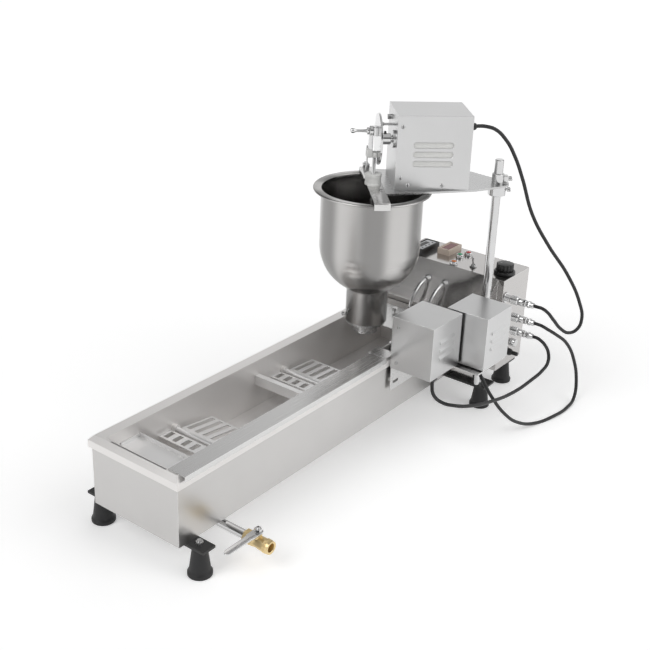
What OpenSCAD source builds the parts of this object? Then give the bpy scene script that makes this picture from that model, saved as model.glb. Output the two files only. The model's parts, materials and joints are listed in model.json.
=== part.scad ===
// Automatic donut machine: an oil tank with two flippers, a dough hopper with a
// crank-driven plunger on a swinging arm, and an electric control head.
// Millimetres. X runs along the trough to the control head, Z is up,
// and the near long side with the drive boxes is at -Y.

/* [Trough] */
// Length of the tank rim over its lips
rim_l = 843; // [820:1:860]
// Width of the tank rim over its lips
rim_w = 215; // [208:1:222]
// Height of the rim's top face above the floor
rim_z = 198; // [190:1:206]
// Width of the rim's sloped edge
bevel_w = 9.2; // [7:0.1:10]
// Drop of the rim's sloped edge
bevel_h = 9.4; // [7:0.1:11]
// Height of the rim's hanging lip
lip_h = 14; // [10:1:18]
// Sheet thickness of tank, casing and covers
sheet = 1.5; // [1:0.1:2]
// Gap between the lip's outer face and the casing
casing_inset = 4.8; // [3.5:0.1:6]
// Height of the casing's underside above the floor
casing_z = 60; // [50:1:70]
// Depth of the oil tank
tank_h = 100; // [90:1:105]
// Rim margin at the discharge end
end_margin = 14; // [13:0.5:16]
// Rim margin at the control end
back_margin = 11; // [10.5:0.5:14]
// Rim margin on the near side
near_margin = 10.5; // [10:0.1:12]
// Rim margin on the far side
far_margin = 32; // [28:1:36]
// Width of the drive channel beside the near wall
channel_w = 21; // [20:0.5:22]
// Thickness of the channel divider
divider_t = 1.2; // [1:0.1:1.5]

/* [Covers and racks] */
// Length of the channel's cover strip
strip_l = 564; // [540:1:564]
// Overhang of the cover strip past the lip
strip_over = 6; // [4:0.5:8]
// Distance of the discharge tray from the end
tray_x = 45; // [40:1:50]
// Length of the discharge tray
tray_l = 46; // [40:1:55]
// Height of the discharge tray
tray_z = 166; // [160:1:170]
// Distance of the cross ledge from the end
ledge_x = 397; // [385:1:405]
// Height of the cross ledge
ledge_z = 168; // [160:1:172]
// Distance of the rear cover plate from the end
rear_x = 702; // [700:1:720]
// Length of the rear cover plate
rear_l = 104; // [90:1:106]

/* [Flippers] */
// Distance of the turning flipper's shaft from the end
flip1_x = 484; // [470:1:490]
// Distance of the discharge flipper's shaft from the end
flip2_x = 175; // [168:1:182]
// Height of the flipper shafts
flip_z = 147; // [143:1:150]
// Length of the turning flipper's panel
flip1_l = 82; // [75:1:90]
// Length of the discharge flipper's panel
flip2_l = 89; // [80:1:95]
// Radius of the flipper and drive shafts
shaft_r = 5; // [4:0.5:5.5]
// Length of the drive arms
arm_r = 20; // [17:0.5:21]
// Length of the fixed slotted rack beside each flipper
rack_l = 30; // [22:1:34]
// Slots in each panel
slots = 7; // [5:1:9]

/* [Drive boxes] */
// Distance of the turning flipper's motor shaft from the end
drive1_x = 630; // [622:1:636]
// Distance of the discharge flipper's motor shaft from the end
drive2_x = 755; // [748:1:760]
// Height of the motor shafts
drive_z = 208; // [207:1:212]
// Distance of the first drive box from the end
box_a_x = 596; // [592:1:598]
// Length of the first drive box
box_a_l = 104; // [100:1:106]
// Depth of the first drive box
box_a_d = 95; // [92:1:100]
// Distance of the second drive box from the end
box_b_x = 707; // [706:1:710]
// Length of the second drive box
box_b_l = 96; // [92:1:98]
// Depth of the second drive box
box_b_d = 93; // [90:1:98]
// Reach of the second box's mounting plate from the centre line
box_b_y = 167; // [160:1:170]
// Height of both drive boxes
box_h = 113; // [108:1:118]
// Height of the drive boxes' underside
box_z = 172; // [171:1:176]

/* [Hopper] */
// Distance of the hopper's axis from the end
hopper_x = 655; // [650:1:658]
// Offset of the hopper's axis from the centre line
hopper_y = -3.3; // [-5:0.1:0]
// Outer radius of the hopper's bowl
bowl_r = 102; // [96:1:106]
// Outer radius of the hopper's flat rim
hopper_rim_r = 118; // [112:1:122]
// Height of the hopper's rim
hopper_z = 512; // [505:1:520]
// Radius of the bead rolled round the rim
bead_r = 2; // [1.5:0.25:2.5]
// Height of the round bottom's centre
bowl_z = 395; // [385:1:405]
// Outer radius of the neck
neck_r = 43; // [40:0.5:45]
// Height of the neck's lower end
neck_z = 229; // [226:1:234]
// Radius of the dough bore
dough_r = 21; // [18:0.5:24]
// Height of the dough mould's lower end
mould_z = 204; // [203:1:207]

/* [Dough head] */
// Angle of the arm towards the near side
arm_angle = 47; // [45:0.5:48]
// Distance of the post from the hopper's axis along the arm
arm_reach = 256.6; // [252:0.2:260]
// Thickness of the arm plate
arm_t = 4; // [3:0.5:5]
// Thickness of the hopper strap
strap_t = 3; // [2:0.5:4]
// Width of the hopper strap
strap_w = 31; // [28:1:34]
// Length of the head's gear box cover
head_l = 147; // [140:1:155]
// Height of the head's gear box cover
head_h = 146.7; // [140:0.1:150]
// Height of the crank shaft
crank_z = 611; // [608:1:613]
// Throw of the crank pin
throw = 15.5; // [12:0.5:15.5]
// Radius of the crank disc
disc_r = 50; // [42:1:52]
// Distance between the eyes of the connecting rod
rod_l = 44; // [43:0.5:46]
// Radius of the post
post_r = 9.25; // [8:0.25:10]
// Height of the post's top
post_z = 565; // [560:1:600]

/* [Control head] */
// Distance of the control head's front from the end
head_x = 851; // [850:1:856]
// Length of the control head
control_l = 186; // [180:1:192]
// Length of the sloped front
slope_l = 74; // [66:1:78]
// Height of the slope's lower edge
slope_z = 201; // [200:1:206]
// Height of the control panel
control_z = 277; // [270:1:284]
// Reach of the control head on the far side
control_far = 101; // [98:1:108]
// Reach of the control head's main part on the near side
control_near = 160; // [150:1:162]
// Reach of the control head's side part on the near side
control_side = 175; // [170:1:178]

/* [Feet] */
// Height of the rubber feet
foot_h = 55; // [45:1:65]
// Base radius of the feet
foot_r = 22; // [18:1:24]
// Top radius of the feet
foot_top = 13.5; // [11:0.5:15]
// Width of the outer crossbars
bar_w = 30; // [28:1:34]
// Width of the middle crossbar
mid_bar_w = 44; // [42:1:48]

/* [Drain] */
// Distance of the drain pipe from the end
drain_x = 118; // [105:1:125]
// Height of the drain pipe
drain_z = 47; // [42:1:49]
// Outer radius of the drain pipe
pipe_r = 8.6; // [7.5:0.1:9]
// Length of the valve body
valve_l = 57; // [52:1:64]
// Length of the valve lever
lever_l = 75; // [60:1:90]

/* [Hidden] */
$fn = 64;

gap = 0.3;
running = 0.06;
eps = 0.01;
steel = [0.72, 0.72, 0.73];
dark_steel = [0.55, 0.55, 0.56];
black = [0.05, 0.05, 0.05];
white = [0.92, 0.92, 0.9];
brass = [0.8, 0.62, 0.28];

// Heights and faces that follow from the trough's sizes
lip_top = rim_z - bevel_h;
lip_z = lip_top - lip_h;
casing_y = rim_w / 2 - casing_inset;
casing_top = rim_z - bevel_h - 1.4 * sheet + casing_inset - gap;
tank_x1 = rim_l - back_margin;
near_y = -rim_w / 2 + near_margin;
far_y = rim_w / 2 - far_margin;
floor_z = rim_z - tank_h;
divider_y = near_y + channel_w;
rack_y0 = divider_y + divider_t + gap;
rack_y1 = far_y - gap;
cup_l = 8;
cup_r = shaft_r + 4;
control_back = head_x + control_l;
side_x = head_x + slope_l - 1;

// Layers of the two linkages in the drive channel, from the divider outwards
bar_t3 = 3;
arm1_y = divider_y - 2 - bar_t3;
rod1_y = arm1_y - 0.5 - bar_t3;
crank1_y = rod1_y - 0.5 - bar_t3;
arm2_y = crank1_y;
rod2_y = arm2_y - 0.5 - bar_t3;
crank2_y = rod2_y - 0.5 - bar_t3;
link_w = 7;
link_pin_r = 2.5;
flipper_turn1 = 3;
flipper_turn2 = 7;

// Brackets
plate_t = 2;
bracket_a_x = box_a_x + 5;
bracket_a_l = 89;
bracket_a_z = casing_z + 58;
bracket_b_x = box_b_x - 15;
bracket_b_z = casing_z + 52;
bracket_a_y = -rim_w / 2 - 0.5;
box_a_y = bracket_a_y - plate_t;
bracket_b_y = -casing_y - 0.2;
hook_x = 577;
hook_l = 33;
shelf_z = box_z - 3;

// Dough head: heights above the hopper's rim, lengths along the arm
plate_z = hopper_z + 0.5;
strap_z = plate_z + arm_t;
strap_top = strap_z + strap_t;
guide_r = 16.5;
guide_h = crank_z + throw - rod_l - 41 - strap_top;
post_side = 22.1;
head_e1 = 38.8;
head_near = -27.4;
head_far = 91.3;
head_screw_x = [head_e1 + head_l * 0.175, head_e1 + head_l * 0.637];
gland_z = strap_z + 120.5;
plunger_r = 3.7;
disc_e1 = 4.5;
disc_t = 4;
rod_e1 = -12;
rod_t = 7.5;
pin_r = 4;
pin_z = crank_z + throw;
clevis_z = pin_z - rod_l;
clevis_e1 = rod_e1 + rod_t + gap;
strap_mid = 3;
hook_low = hopper_z - 8.5;
neck_in = neck_r - sheet;
post_x = hopper_x + arm_reach * cos(arm_angle) + post_side * sin(arm_angle);
post_y = hopper_y - arm_reach * sin(arm_angle) + post_side * cos(arm_angle);

// Feet and crossbars
bar_t = casing_z - foot_h;
far_foot = 120;
bar_end = 22;
front_bar_x = 36;
mid_foot_x = post_x + 19;
mid_bar_x = post_x + 12;
rear_foot_x = control_back - 34;
foot_places = [[front_bar_x, -far_foot], [front_bar_x, far_foot],
    [mid_foot_x, post_y + 1], [mid_foot_x, far_foot],
    [rear_foot_x, -control_side + 23], [rear_foot_x, far_foot]];

// Drain
elbow_r = pipe_r + 2.5;
elbow_y = -60;
valve_y = -150;
valve_r = 13;
lever_z = drain_z + valve_r + 5;
ball_y = valve_y - valve_l * 0.48;

// Heating tubes: nuts on the slope, a bend over the rim, a loop on the tank floor
tube_r = 4;
tube_y = [-1.5, -46];
slope_angle = atan2(control_z - slope_z, slope_l);
nut_rise = 45;
nut_x = head_x + nut_rise / tan(slope_angle);
nut_z = slope_z + nut_rise;
tube_bend = 66;
tube_x = tank_x1 - 8;
loop_x = 60;
loop_z = floor_z + 14;

// Control panel
display_x = head_x + control_l * 0.64;
display_l = 55;
timer_x = head_x + control_l * 0.45;
timer_l = 72;
socket_at = [[938, 235], [950, 190], [952, 157], [954, 128]];
mains_at = [958, 100];
lamp_at = [[937, -39], [984, -26], [1008, -34]];
knob_at = [967, -151];
toggle_at = [951, -81];

// Free cables, hand-placed along their real routes
cable_r = 3.8;
plug_end_y = -245;
route_1 = [[792.3, -146.7, gland_z], [798.2, -150.5, gland_z], [804.3, -155.8, 636.6], [811, -162.7, 635],
    [820, -172, 631], [846, -186, 606], [868, -197, 571], [888, -208, 525],
    [912, -228, 445], [945, -256, 376], [985, -291, 305], [1012, -314, 240],
    [1020, -321, 200], [1014, -316, 176], [998, -306, 170], [977, -295, 183],
    [957, -284, 208], [942, -273, 229], [938, -262, 235], [938, -254, 235],
    [938, plug_end_y - gap, 235]];
route_2 = [[950, plug_end_y - gap, 190], [950, -253, 190], [951, -261, 189],
    [960, -271, 181], [980, -284, 165], [1010, -298, 138], [1034, -311, 90],
    [1036, -322, 42], [1017, -330, 12], [975, -334, 4], [925, -330, 4],
    [868, -314, 4], [815, -298, 22], [775, -284, 55], [754, -264, 92],
    [752, -241, 122], [758, -225, 138], [760, -220, 150], [760, -220, 159.7]];
route_3 = [[952, plug_end_y - gap, 157], [952, -253, 157], [954, -262, 153],
    [959, -273, 141], [961, -281, 124], [952, -286, 108], [928, -286, 97],
    [890, -283, 90], [820, -278, 86], [730, -272, 98], [665, -263, 112],
    [632, -247, 120], [616, -222, 126], [617, -203, 135], [621.5, -195.5, 149],
    [622, -195, 161.7]];
gland_b = [760, -220];
gland_a = [622, -195];

// The origin sits below the middle of the machine's footprint
near_end = -box_b_y - box_b_d - 2.5;
far_end = far_foot + bar_end;
mid_x = control_back / 2;
mid_y = (near_end + far_end) / 2;

module place() {
    translate([-mid_x, -mid_y, 0]) children();
}

module at_head() {
    place() translate([hopper_x, hopper_y, 0]) rotate([0, 0, -arm_angle]) children();
}

module block(p, q) {
    translate(p) cube(q - p);
}

module rod_x(x0, x1, y, z, r, fn = 64) {
    translate([x0, y, z]) rotate([0, 90, 0]) cylinder(r = r, h = x1 - x0, $fn = fn);
}

module rod_y(y0, y1, x, z, r, fn = 64) {
    translate([x, y0, z]) rotate([-90, 0, 0]) cylinder(r = r, h = y1 - y0, $fn = fn);
}

module rod_z(z0, z1, x, y, r, fn = 64) {
    translate([x, y, z0]) cylinder(r = r, h = z1 - z0, $fn = fn);
}

// Flat link with round ends between two points of the XZ plane
module link(a, b, y0, w) {
    d = b - a;
    len = norm(d);
    translate([a[0], y0, a[1]]) rotate([0, -atan2(d[1], d[0]), 0]) {
        translate([0, 0, -w / 2]) cube([len, bar_t3, w]);
        rotate([-90, 0, 0]) cylinder(r = w / 2, h = bar_t3);
        translate([len, 0, 0]) rotate([-90, 0, 0]) cylinder(r = w / 2, h = bar_t3);
    }
}

// Solid under the rim: flat top, sloped edges with mitred corners, upright lips
module rim_solid(in, z_top, z_low) {
    w = rim_w / 2 - in;
    l0 = in;
    l1 = rim_l - in;
    f = bevel_w - in * 0.6;
    zf = z_top - bevel_h + in * 0.6;
    intersection() {
        translate([l0, 0, 0]) rotate([90, 0, 90]) linear_extrude(l1 - l0)
            polygon([[-w, z_low], [-w, zf], [-w + f, z_top], [w - f, z_top], [w, zf], [w, z_low]]);
        translate([0, w, 0]) rotate([90, 0, 0]) linear_extrude(2 * w)
            polygon([[l0, z_low], [l0, zf], [l0 + f, z_top], [l1 - f, z_top], [l1, zf], [l1, z_low]]);
    }
}

module casing() place() color(steel) difference() {
    block([casing_inset, -casing_y, casing_z], [head_x - gap, casing_y, casing_top]);
    block([casing_inset + sheet, -casing_y + sheet, casing_z + sheet],
        [head_x - gap - sheet, casing_y - sheet, casing_top + 1]);
    rod_z(casing_z - 1, casing_z + sheet + 1, drain_x, elbow_y, pipe_r + 1);
    block([rim_l - casing_inset - gap, -casing_y - 1, lip_z - gap], [head_x, casing_y + 1, rim_z]);
}

module oil_tank() place() color(steel) difference() {
    union() {
        difference() {
            rim_solid(0, rim_z, lip_z);
            rim_solid(sheet, rim_z - sheet, lip_z - 1);
        }
        block([end_margin - sheet, near_y - sheet, floor_z - sheet],
            [tank_x1 + sheet, far_y + sheet, rim_z - eps]);
    }
    difference() {
        block([end_margin, near_y, floor_z], [tank_x1, far_y, rim_z + 1]);
        for (x = [flip1_x, flip2_x]) rod_y(far_y - cup_l, far_y + 1, x, flip_z, cup_r);
    }
    for (x = [flip1_x, flip2_x])
        rod_y(far_y - cup_l - 1, far_y, x, flip_z, shaft_r + running);
    rod_z(floor_z - sheet - 1, floor_z + 1, drain_x, elbow_y, pipe_r - 2);
    block([end_margin - sheet - 3.2, -72, rim_z - sheet - 1], [end_margin - sheet - 0.2, 60, rim_z + 1]);
}

module channel_divider() place() color(steel) difference() {
    block([end_margin + gap, divider_y, floor_z + gap],
        [tank_x1 - gap, divider_y + divider_t, rim_z]);
    for (x = [flip1_x, flip2_x])
        rod_y(divider_y - 1, divider_y + divider_t + 1, x, flip_z, shaft_r + running);
}

module cover_strip() place() color(steel) {
    y0 = -rim_w / 2 - strip_over;
    block([12, y0, rim_z + gap], [12 + strip_l, divider_y + divider_t, rim_z + gap + sheet]);
    block([12, y0, rim_z - 8], [12 + strip_l, y0 + sheet, rim_z + gap + eps]);
}

module discharge_tray() place() color(steel) {
    block([tray_x, rack_y0, tray_z], [tray_x + tray_l, rack_y1, tray_z + sheet]);
    block([tray_x + tray_l - sheet, rack_y0, tray_z], [tray_x + tray_l, rack_y1, tray_z + 9]);
    for (y = [rack_y0, rack_y1 - sheet])
        block([tray_x, y, tray_z], [tray_x + tray_l, y + sheet, tray_z + 8]);
}

module slotted(x0, x1, y0, y1, z, cut0, cut1) {
    pitch = (y1 - y0) / slots;
    difference() {
        block([x0, y0, z], [x1, y1, z + 2]);
        for (i = [0 : slots - 1])
            block([cut0, y0 + pitch * (i + 0.25), z - 1], [cut1, y0 + pitch * (i + 0.75), z + 3]);
    }
}

// Two fixed slotted racks before the flippers, and the stepped cross ledge
module fixed_racks() place() color(dark_steel) {
    for (x = [flip1_x, flip2_x]) {
        x1 = x - cup_r - gap;
        slotted(x1 - rack_l, x1, rack_y0, rack_y1, flip_z - 2, x1 - rack_l + 5, x1 - 4);
    }
    translate([0, rack_y1, 0]) rotate([90, 0, 0]) linear_extrude(rack_y1 - rack_y0)
        polygon([[ledge_x, ledge_z - 20], [ledge_x, ledge_z], [ledge_x + 12, ledge_z],
            [ledge_x + 12, ledge_z - 10], [ledge_x + 25, ledge_z - 10],
            [ledge_x + 25, ledge_z - 20], [ledge_x + 23, ledge_z - 20],
            [ledge_x + 23, ledge_z - 12], [ledge_x + 10, ledge_z - 12],
            [ledge_x + 10, ledge_z - 2], [ledge_x + 2, ledge_z - 2], [ledge_x + 2, ledge_z - 20]]);
}

module rear_cover() place() color(steel) {
    block([rear_x, divider_y, rim_z + gap], [rear_x + rear_l, far_y + 10, rim_z + gap + sheet]);
    rod_z(rim_z + gap, rim_z + 8, rear_x + rear_l * 0.7, 3, 2.5);
    rod_z(rim_z + 7, rim_z + 14, rear_x + rear_l * 0.7, 3, 6);
}

// Shaft, slotted panel and drive arm of one flipper
module flipper(x, len, tilt, arm_y) {
    difference() {
        union() {
            rod_y(arm_y, far_y - gap, x, flip_z, shaft_r);
            translate([x, 0, flip_z]) rotate([0, tilt, 0])
                slotted(3, len, rack_y0 + 2, far_y - cup_l - 1.5, -1, 16, len - 5);
            link([x, flip_z], [x, flip_z - arm_r], arm_y, link_w + 3);
        }
        rod_y(arm_y - 1, arm_y + bar_t3 + 1, x, flip_z - arm_r, link_pin_r + 0.4);
    }
}

module flipper_1() place() color(steel) flipper(flip1_x, flip1_l, flipper_turn1, arm1_y);

module flipper_2() place() color(steel) flipper(flip2_x, flip2_l, flipper_turn2, arm2_y);

module crank_arm(x, arm_y, shaft_y) {
    difference() {
        union() {
            rod_y(shaft_y, arm_y + bar_t3, x, drive_z, shaft_r);
            link([x, drive_z], [x, drive_z - arm_r], arm_y, link_w + 3);
        }
        rod_y(arm_y - 1, arm_y + bar_t3 + 1, x, drive_z - arm_r, link_pin_r + running);
    }
}

module crank_arm_1() place() color(dark_steel)
    crank_arm(drive1_x, crank1_y, box_a_y - 12);

module crank_arm_2() place() color(dark_steel)
    crank_arm(drive2_x, crank2_y, -box_b_y - plate_t - 12);

// Pull rod with a pin at each end, the near pin reaching back and the far pin forward
module pull_rod(x, drive_x, rod_y, arm_y, drive_y) {
    link([x, flip_z - arm_r], [drive_x, drive_z - arm_r], rod_y, link_w);
    rod_y(rod_y + bar_t3 - eps, arm_y + bar_t3, x, flip_z - arm_r, link_pin_r);
    rod_y(drive_y, rod_y + eps, drive_x, drive_z - arm_r, link_pin_r);
}

module pull_rod_1() place() color(dark_steel)
    pull_rod(flip1_x, drive1_x, rod1_y, arm1_y, crank1_y);

module pull_rod_2() place() color(dark_steel)
    pull_rod(flip2_x, drive2_x, rod2_y, arm2_y, crank2_y);

// Hook over the near rim, outer plate and the motor's mounting plate
module bracket_a() place() color(steel) difference() {
    union() {
        block([hook_x, box_a_y, rim_z + gap], [hook_x + hook_l, divider_y + 7, rim_z + gap + plate_t]);
        block([bracket_a_x, box_a_y, bracket_a_z],
            [bracket_a_x + bracket_a_l, box_a_y + plate_t, rim_z + gap + plate_t]);
        block([box_a_x + sheet + gap, box_a_y, box_z + sheet + gap],
            [box_a_x + box_a_l - sheet - gap, box_a_y + plate_t, box_z + box_h - sheet - gap]);
    }
    rod_y(box_a_y - 1, box_a_y + plate_t + 1, drive1_x, drive_z, shaft_r + 1);
    for (x = [11, 25])
        rod_y(box_a_y - 1, box_a_y + plate_t + 1, bracket_a_x + x, bracket_a_z + 16, 3);
    block([bracket_a_x + 11, box_a_y - 1, bracket_a_z + 13],
        [bracket_a_x + 25, box_a_y + plate_t + 1, bracket_a_z + 19]);
}

// Flange on the casing, shelf under the second box, mounting plate and shaft bearing
module bracket_b() place() color(steel) difference() {
    union() {
        block([bracket_b_x, bracket_b_y - plate_t, bracket_b_z],
            [box_b_x + box_b_l, bracket_b_y, shelf_z]);
        block([bracket_b_x, -box_b_y - box_b_d + 3, shelf_z - 3],
            [box_b_x + box_b_l, bracket_b_y, shelf_z]);
        block([box_b_x + sheet + gap, -box_b_y - plate_t, shelf_z - eps],
            [box_b_x + box_b_l - sheet - gap, -box_b_y, box_z + box_h - sheet - gap]);
        block([drive2_x - 9, bracket_a_y - 5, shelf_z - eps],
            [drive2_x + 9, bracket_a_y, drive_z + 9]);
    }
    rod_y(-box_b_y - plate_t - 1, -box_b_y + 1, drive2_x, drive_z, shaft_r + 1);
    rod_y(bracket_a_y - 6, bracket_a_y + 1, drive2_x, drive_z, shaft_r + running);
    rod_z(shelf_z - 4, shelf_z + 1, gland_b[0], gland_b[1], 7);
}

// Sheet box open towards the machine, with three pressed louvres on its near face
module motor_cover(x, l, y, d, low_slot) {
    difference() {
        union() {
            block([x, y - d, box_z], [x + l, y, box_z + box_h]);
            for (i = [0 : 2]) louvre(x + l / 2, y - d, box_z + 38 + 17 * i, 52);
        }
        block([x + sheet, y - d + sheet, box_z + sheet], [x + l - sheet, y + 1, box_z + box_h - sheet]);
        for (i = [0 : 2])
            block([x + l / 2 - 25, y - d - 1.4, box_z + 38 + 17 * i - 1],
                [x + l / 2 + 25, y - d + sheet + 1, box_z + 42 + 17 * i]);
        block([x + l / 2 - low_slot, y - d * 0.75, box_z - 1], [x + l / 2 + low_slot, y + 1, box_z + sheet + 1]);
    }
}

module louvre(x, y, z, w) {
    translate([x - w / 2, y, z]) rotate([90, 0, 90]) linear_extrude(w)
        polygon([[0, 0], [-2.5, 0], [-2.5, 3], [0, 9]]);
}

module motor_cover_a() place() color(steel) difference() {
    motor_cover(box_a_x, box_a_l, box_a_y - gap, box_a_d, 8);
    rod_z(box_z - 1, box_z + 3, gland_a[0], gland_a[1], 6.2);
}

module motor_cover_b() place() color(steel) difference() {
    motor_cover(box_b_x, box_b_l, -box_b_y, box_b_d, 4);
    rod_z(box_z - 1, box_z + 3, gland_b[0], gland_b[1], 6.2);
    block([box_b_x + sheet + eps, -box_b_y - plate_t - gap, box_z - 1],
        [box_b_x + box_b_l - sheet - eps, -box_b_y + 1, box_z + sheet + 1]);
}

// Gear case against its mounting plate, motor can behind it
module gearmotor(x, y, back) {
    difference() {
        union() {
            block([x - 26, y - 34, box_z + sheet + 3], [x + 36, y - gap, box_z + sheet + 66]);
            rod_y(y - back, y - 33, x + 8, drive_z + 2, 25);
        }
        rod_y(y - 14, y + 1, x, drive_z, shaft_r + running);
    }
}

module gearmotor_a() place() color(dark_steel) gearmotor(drive1_x, box_a_y, 84);

module gearmotor_b() place() color(dark_steel) gearmotor(drive2_x, -box_b_y - plate_t, 82);

module crossbar(x, w, y0, feet_x, foot_y) {
    difference() {
        block([x - w / 2, y0, foot_h], [x + w / 2, far_end, casing_z]);
        for (y = [foot_y, far_foot]) rod_z(foot_h - 1, casing_z + 1, feet_x, y, 4.3);
    }
}

module crossbars() place() color(black) {
    crossbar(front_bar_x, bar_w, -far_end, front_bar_x, -far_foot);
    crossbar(mid_bar_x, mid_bar_w, post_y - bar_end, mid_foot_x, post_y + 1);
    crossbar(rear_foot_x, bar_w, -control_side + 1, rear_foot_x, -control_side + 23);
}

module feet() place() color(black) for (p = foot_places) translate([p[0], p[1], 0]) difference() {
    union() {
        cylinder(r = foot_r, h = 8);
        translate([0, 0, 8]) cylinder(r1 = foot_r - 2, r2 = foot_top, h = foot_h - 8);
    }
    translate([0, 0, 12]) cylinder(r = 4.1, h = foot_h);
}

// Foot studs with nuts, and the screws of the first drive box
module base_fasteners() place() color(dark_steel) {
    for (p = foot_places) {
        rod_z(30, casing_z + 9, p[0], p[1], 4);
        rod_z(casing_z, casing_z + 6, p[0], p[1], 7, 6);
    }
    for (z = [box_z + 15, box_z + box_h - 20])
        rod_x(box_a_x - 2.2, box_a_x, box_a_y - 14, z, 3.5);
}

// Pipe from the tank's floor through a round elbow and out to the valve
module drain_pipe() place() color(steel) difference() {
    union() {
        rod_z(drain_z, floor_z - sheet - gap, drain_x, elbow_y, pipe_r);
        rod_y(valve_y - 9, elbow_y, drain_x, drain_z, pipe_r);
        translate([drain_x, elbow_y, drain_z]) sphere(r = elbow_r);
    }
    rod_z(drain_z, floor_z, drain_x, elbow_y, pipe_r - 2);
    rod_y(valve_y - 10, elbow_y, drain_x, drain_z, pipe_r - 2.2);
}

module valve_body() place() color(brass) difference() {
    union() {
        rod_y(valve_y - 14, valve_y, drain_x, drain_z, valve_r, 6);
        rod_y(valve_y - valve_l, valve_y - valve_l + 14, drain_x, drain_z, valve_r, 8);
        rod_y(valve_y - valve_l + 13, valve_y - 13, drain_x, drain_z, valve_r - 1);
        rod_z(drain_z, drain_z + valve_r + 3, drain_x, ball_y, 7.5);
    }
    rod_y(valve_y - 10, valve_y + 1, drain_x, drain_z, pipe_r + 0.1);
    rod_y(valve_y - valve_l - 1, valve_y - 1, drain_x, drain_z, 5.5);
    rod_y(valve_y - valve_l - 1, valve_y - valve_l + 12, drain_x, drain_z, 8);
    translate([drain_x, ball_y, drain_z]) sphere(r = 9.2);
    rod_z(drain_z, drain_z + valve_r + 4, drain_x, ball_y, 3 + running);
}

// Ball with a cross bore, closed at rest, and its stem
module valve_ball() place() color(steel) difference() {
    union() {
        translate([drain_x, ball_y, drain_z]) sphere(r = 9);
        rod_z(drain_z + 7, lever_z + 12, drain_x, ball_y, 3);
    }
    rod_x(drain_x - 10, drain_x + 10, ball_y, drain_z, 5.5);
}

module valve_lever() place() color(steel) {
    difference() {
        union() {
            block([drain_x - 22, ball_y - 9, lever_z], [drain_x, ball_y + 9, lever_z + 3]);
            block([drain_x - lever_l, ball_y - 7, lever_z], [drain_x - 20, ball_y + 7, lever_z + 3]);
            rod_z(lever_z, lever_z + 3, drain_x, ball_y, 9);
            rod_z(lever_z, lever_z + 3, drain_x - lever_l, ball_y, 7);
        }
        rod_z(lever_z - 1, lever_z + 4, drain_x, ball_y, 3.1);
    }
    difference() {
        rod_z(lever_z + 3, lever_z + 9, drain_x, ball_y, 7, 6);
        rod_z(lever_z + 2, lever_z + 10, drain_x, ball_y, 3.1);
    }
}

module hopper_shape(in) {
    translate([0, 0, bowl_z]) sphere(r = bowl_r - in, $fn = 96);
    rod_z(bowl_z, hopper_z + (in > 0 ? 1 : -eps), 0, 0, bowl_r - in, 96);
}

// Round-bottomed bowl with a flat rim, a bead rolled round it, and a neck
module hopper() at_head() color(steel) difference() {
    union() {
        hopper_shape(0);
        rod_z(hopper_z - sheet, hopper_z, 0, 0, hopper_rim_r - bead_r, 96);
        translate([0, 0, hopper_z - bead_r]) rotate_extrude($fn = 96)
            translate([hopper_rim_r - bead_r, 0]) circle(r = bead_r, $fn = 24);
        rod_z(neck_z, bowl_z - bowl_r + 10, 0, 0, neck_r);
    }
    hopper_shape(sheet);
    rod_z(neck_z - 1, bowl_z - bowl_r + 20, 0, 0, neck_in);
    translate([-neck_r - 1, 0, neck_z + 11]) rotate([0, 90, 0]) cylinder(r = 3.2, h = 8);
}

// Interchangeable mould in the neck: collar, dough bore and forming nose
module dough_mould() at_head() color(white) difference() {
    union() {
        rod_z(neck_z - 3, neck_z + 34, 0, 0, neck_in - gap);
        rod_z(neck_z - 6, neck_z - gap, 0, 0, neck_r - 3);
        rod_z(mould_z, neck_z, 0, 0, dough_r + 5);
    }
    rod_z(mould_z - 1, neck_z + 40, 0, 0, dough_r + gap);
    translate([-neck_r, 0, neck_z + 11]) rotate([0, 90, 0]) cylinder(r = 2.8, h = 12);
}

// Wing screw through the neck, its axis along -X of the arm frame
module mould_screw() at_head() color(steel) {
    rod_x(-neck_r - 8, -neck_r + 9, 0, neck_z + 11, 2.7);
    rod_x(-neck_r - 8, -neck_r - 0.5, 0, neck_z + 11, 4.5);
    block([-neck_r - 14, -9, neck_z + 9.8], [-neck_r - 7, 9, neck_z + 12.2]);
}

module plunger() at_head() color(steel) {
    rod_z(neck_z + 22, clevis_z - 6, 0, 0, plunger_r);
    rod_z(neck_z + 14, neck_z + 26, 0, 0, dough_r);
}

// Block on the plunger rod, beside the connecting rod's lower end
module clevis() at_head() color(white) difference() {
    block([clevis_e1, -9, clevis_z - 7], [plunger_r + 0.4, 9, clevis_z + 2]);
    rod_z(clevis_z - 8, clevis_z - 6 + gap, 0, 0, plunger_r + 0.05);
}

module rod_guide() at_head() color(white) difference() {
    rod_z(strap_top, strap_top + guide_h, 0, 0, guide_r);
    rod_z(strap_top - 1, strap_top + guide_h + 1, 0, 0, plunger_r + running);
}

module ez_bar(e1, t, y0, z0, z1, w) {
    block([e1, y0 - w / 2, z0], [e1 + t, y0 + w / 2, z1]);
    for (z = [z0, z1]) rod_x(e1, e1 + t, y0, z, w / 2);
}

module con_rod() at_head() color(steel) difference() {
    union() {
        ez_bar(rod_e1, rod_t, 0, clevis_z, pin_z, 14);
        rod_x(rod_e1, rod_e1 + rod_t, 0, pin_z, 10);
        block([rod_e1 - 4, -9, clevis_z - 7.5], [rod_e1 + rod_t, 9, clevis_z + 8]);
    }
    rod_x(rod_e1 - 1, rod_e1 + rod_t + 1, 0, pin_z, pin_r + running);
}

module crank_disc() at_head() color(steel) {
    hub_end = head_e1 - 9;
    rod_x(disc_e1, disc_e1 + disc_t, 0, crank_z, disc_r, 96);
    rod_x(disc_e1 + disc_t - eps, hub_end, 0, crank_z, 11);
    rod_x(hub_end - eps, head_e1 + 14, 0, crank_z, 6);
}

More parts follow.
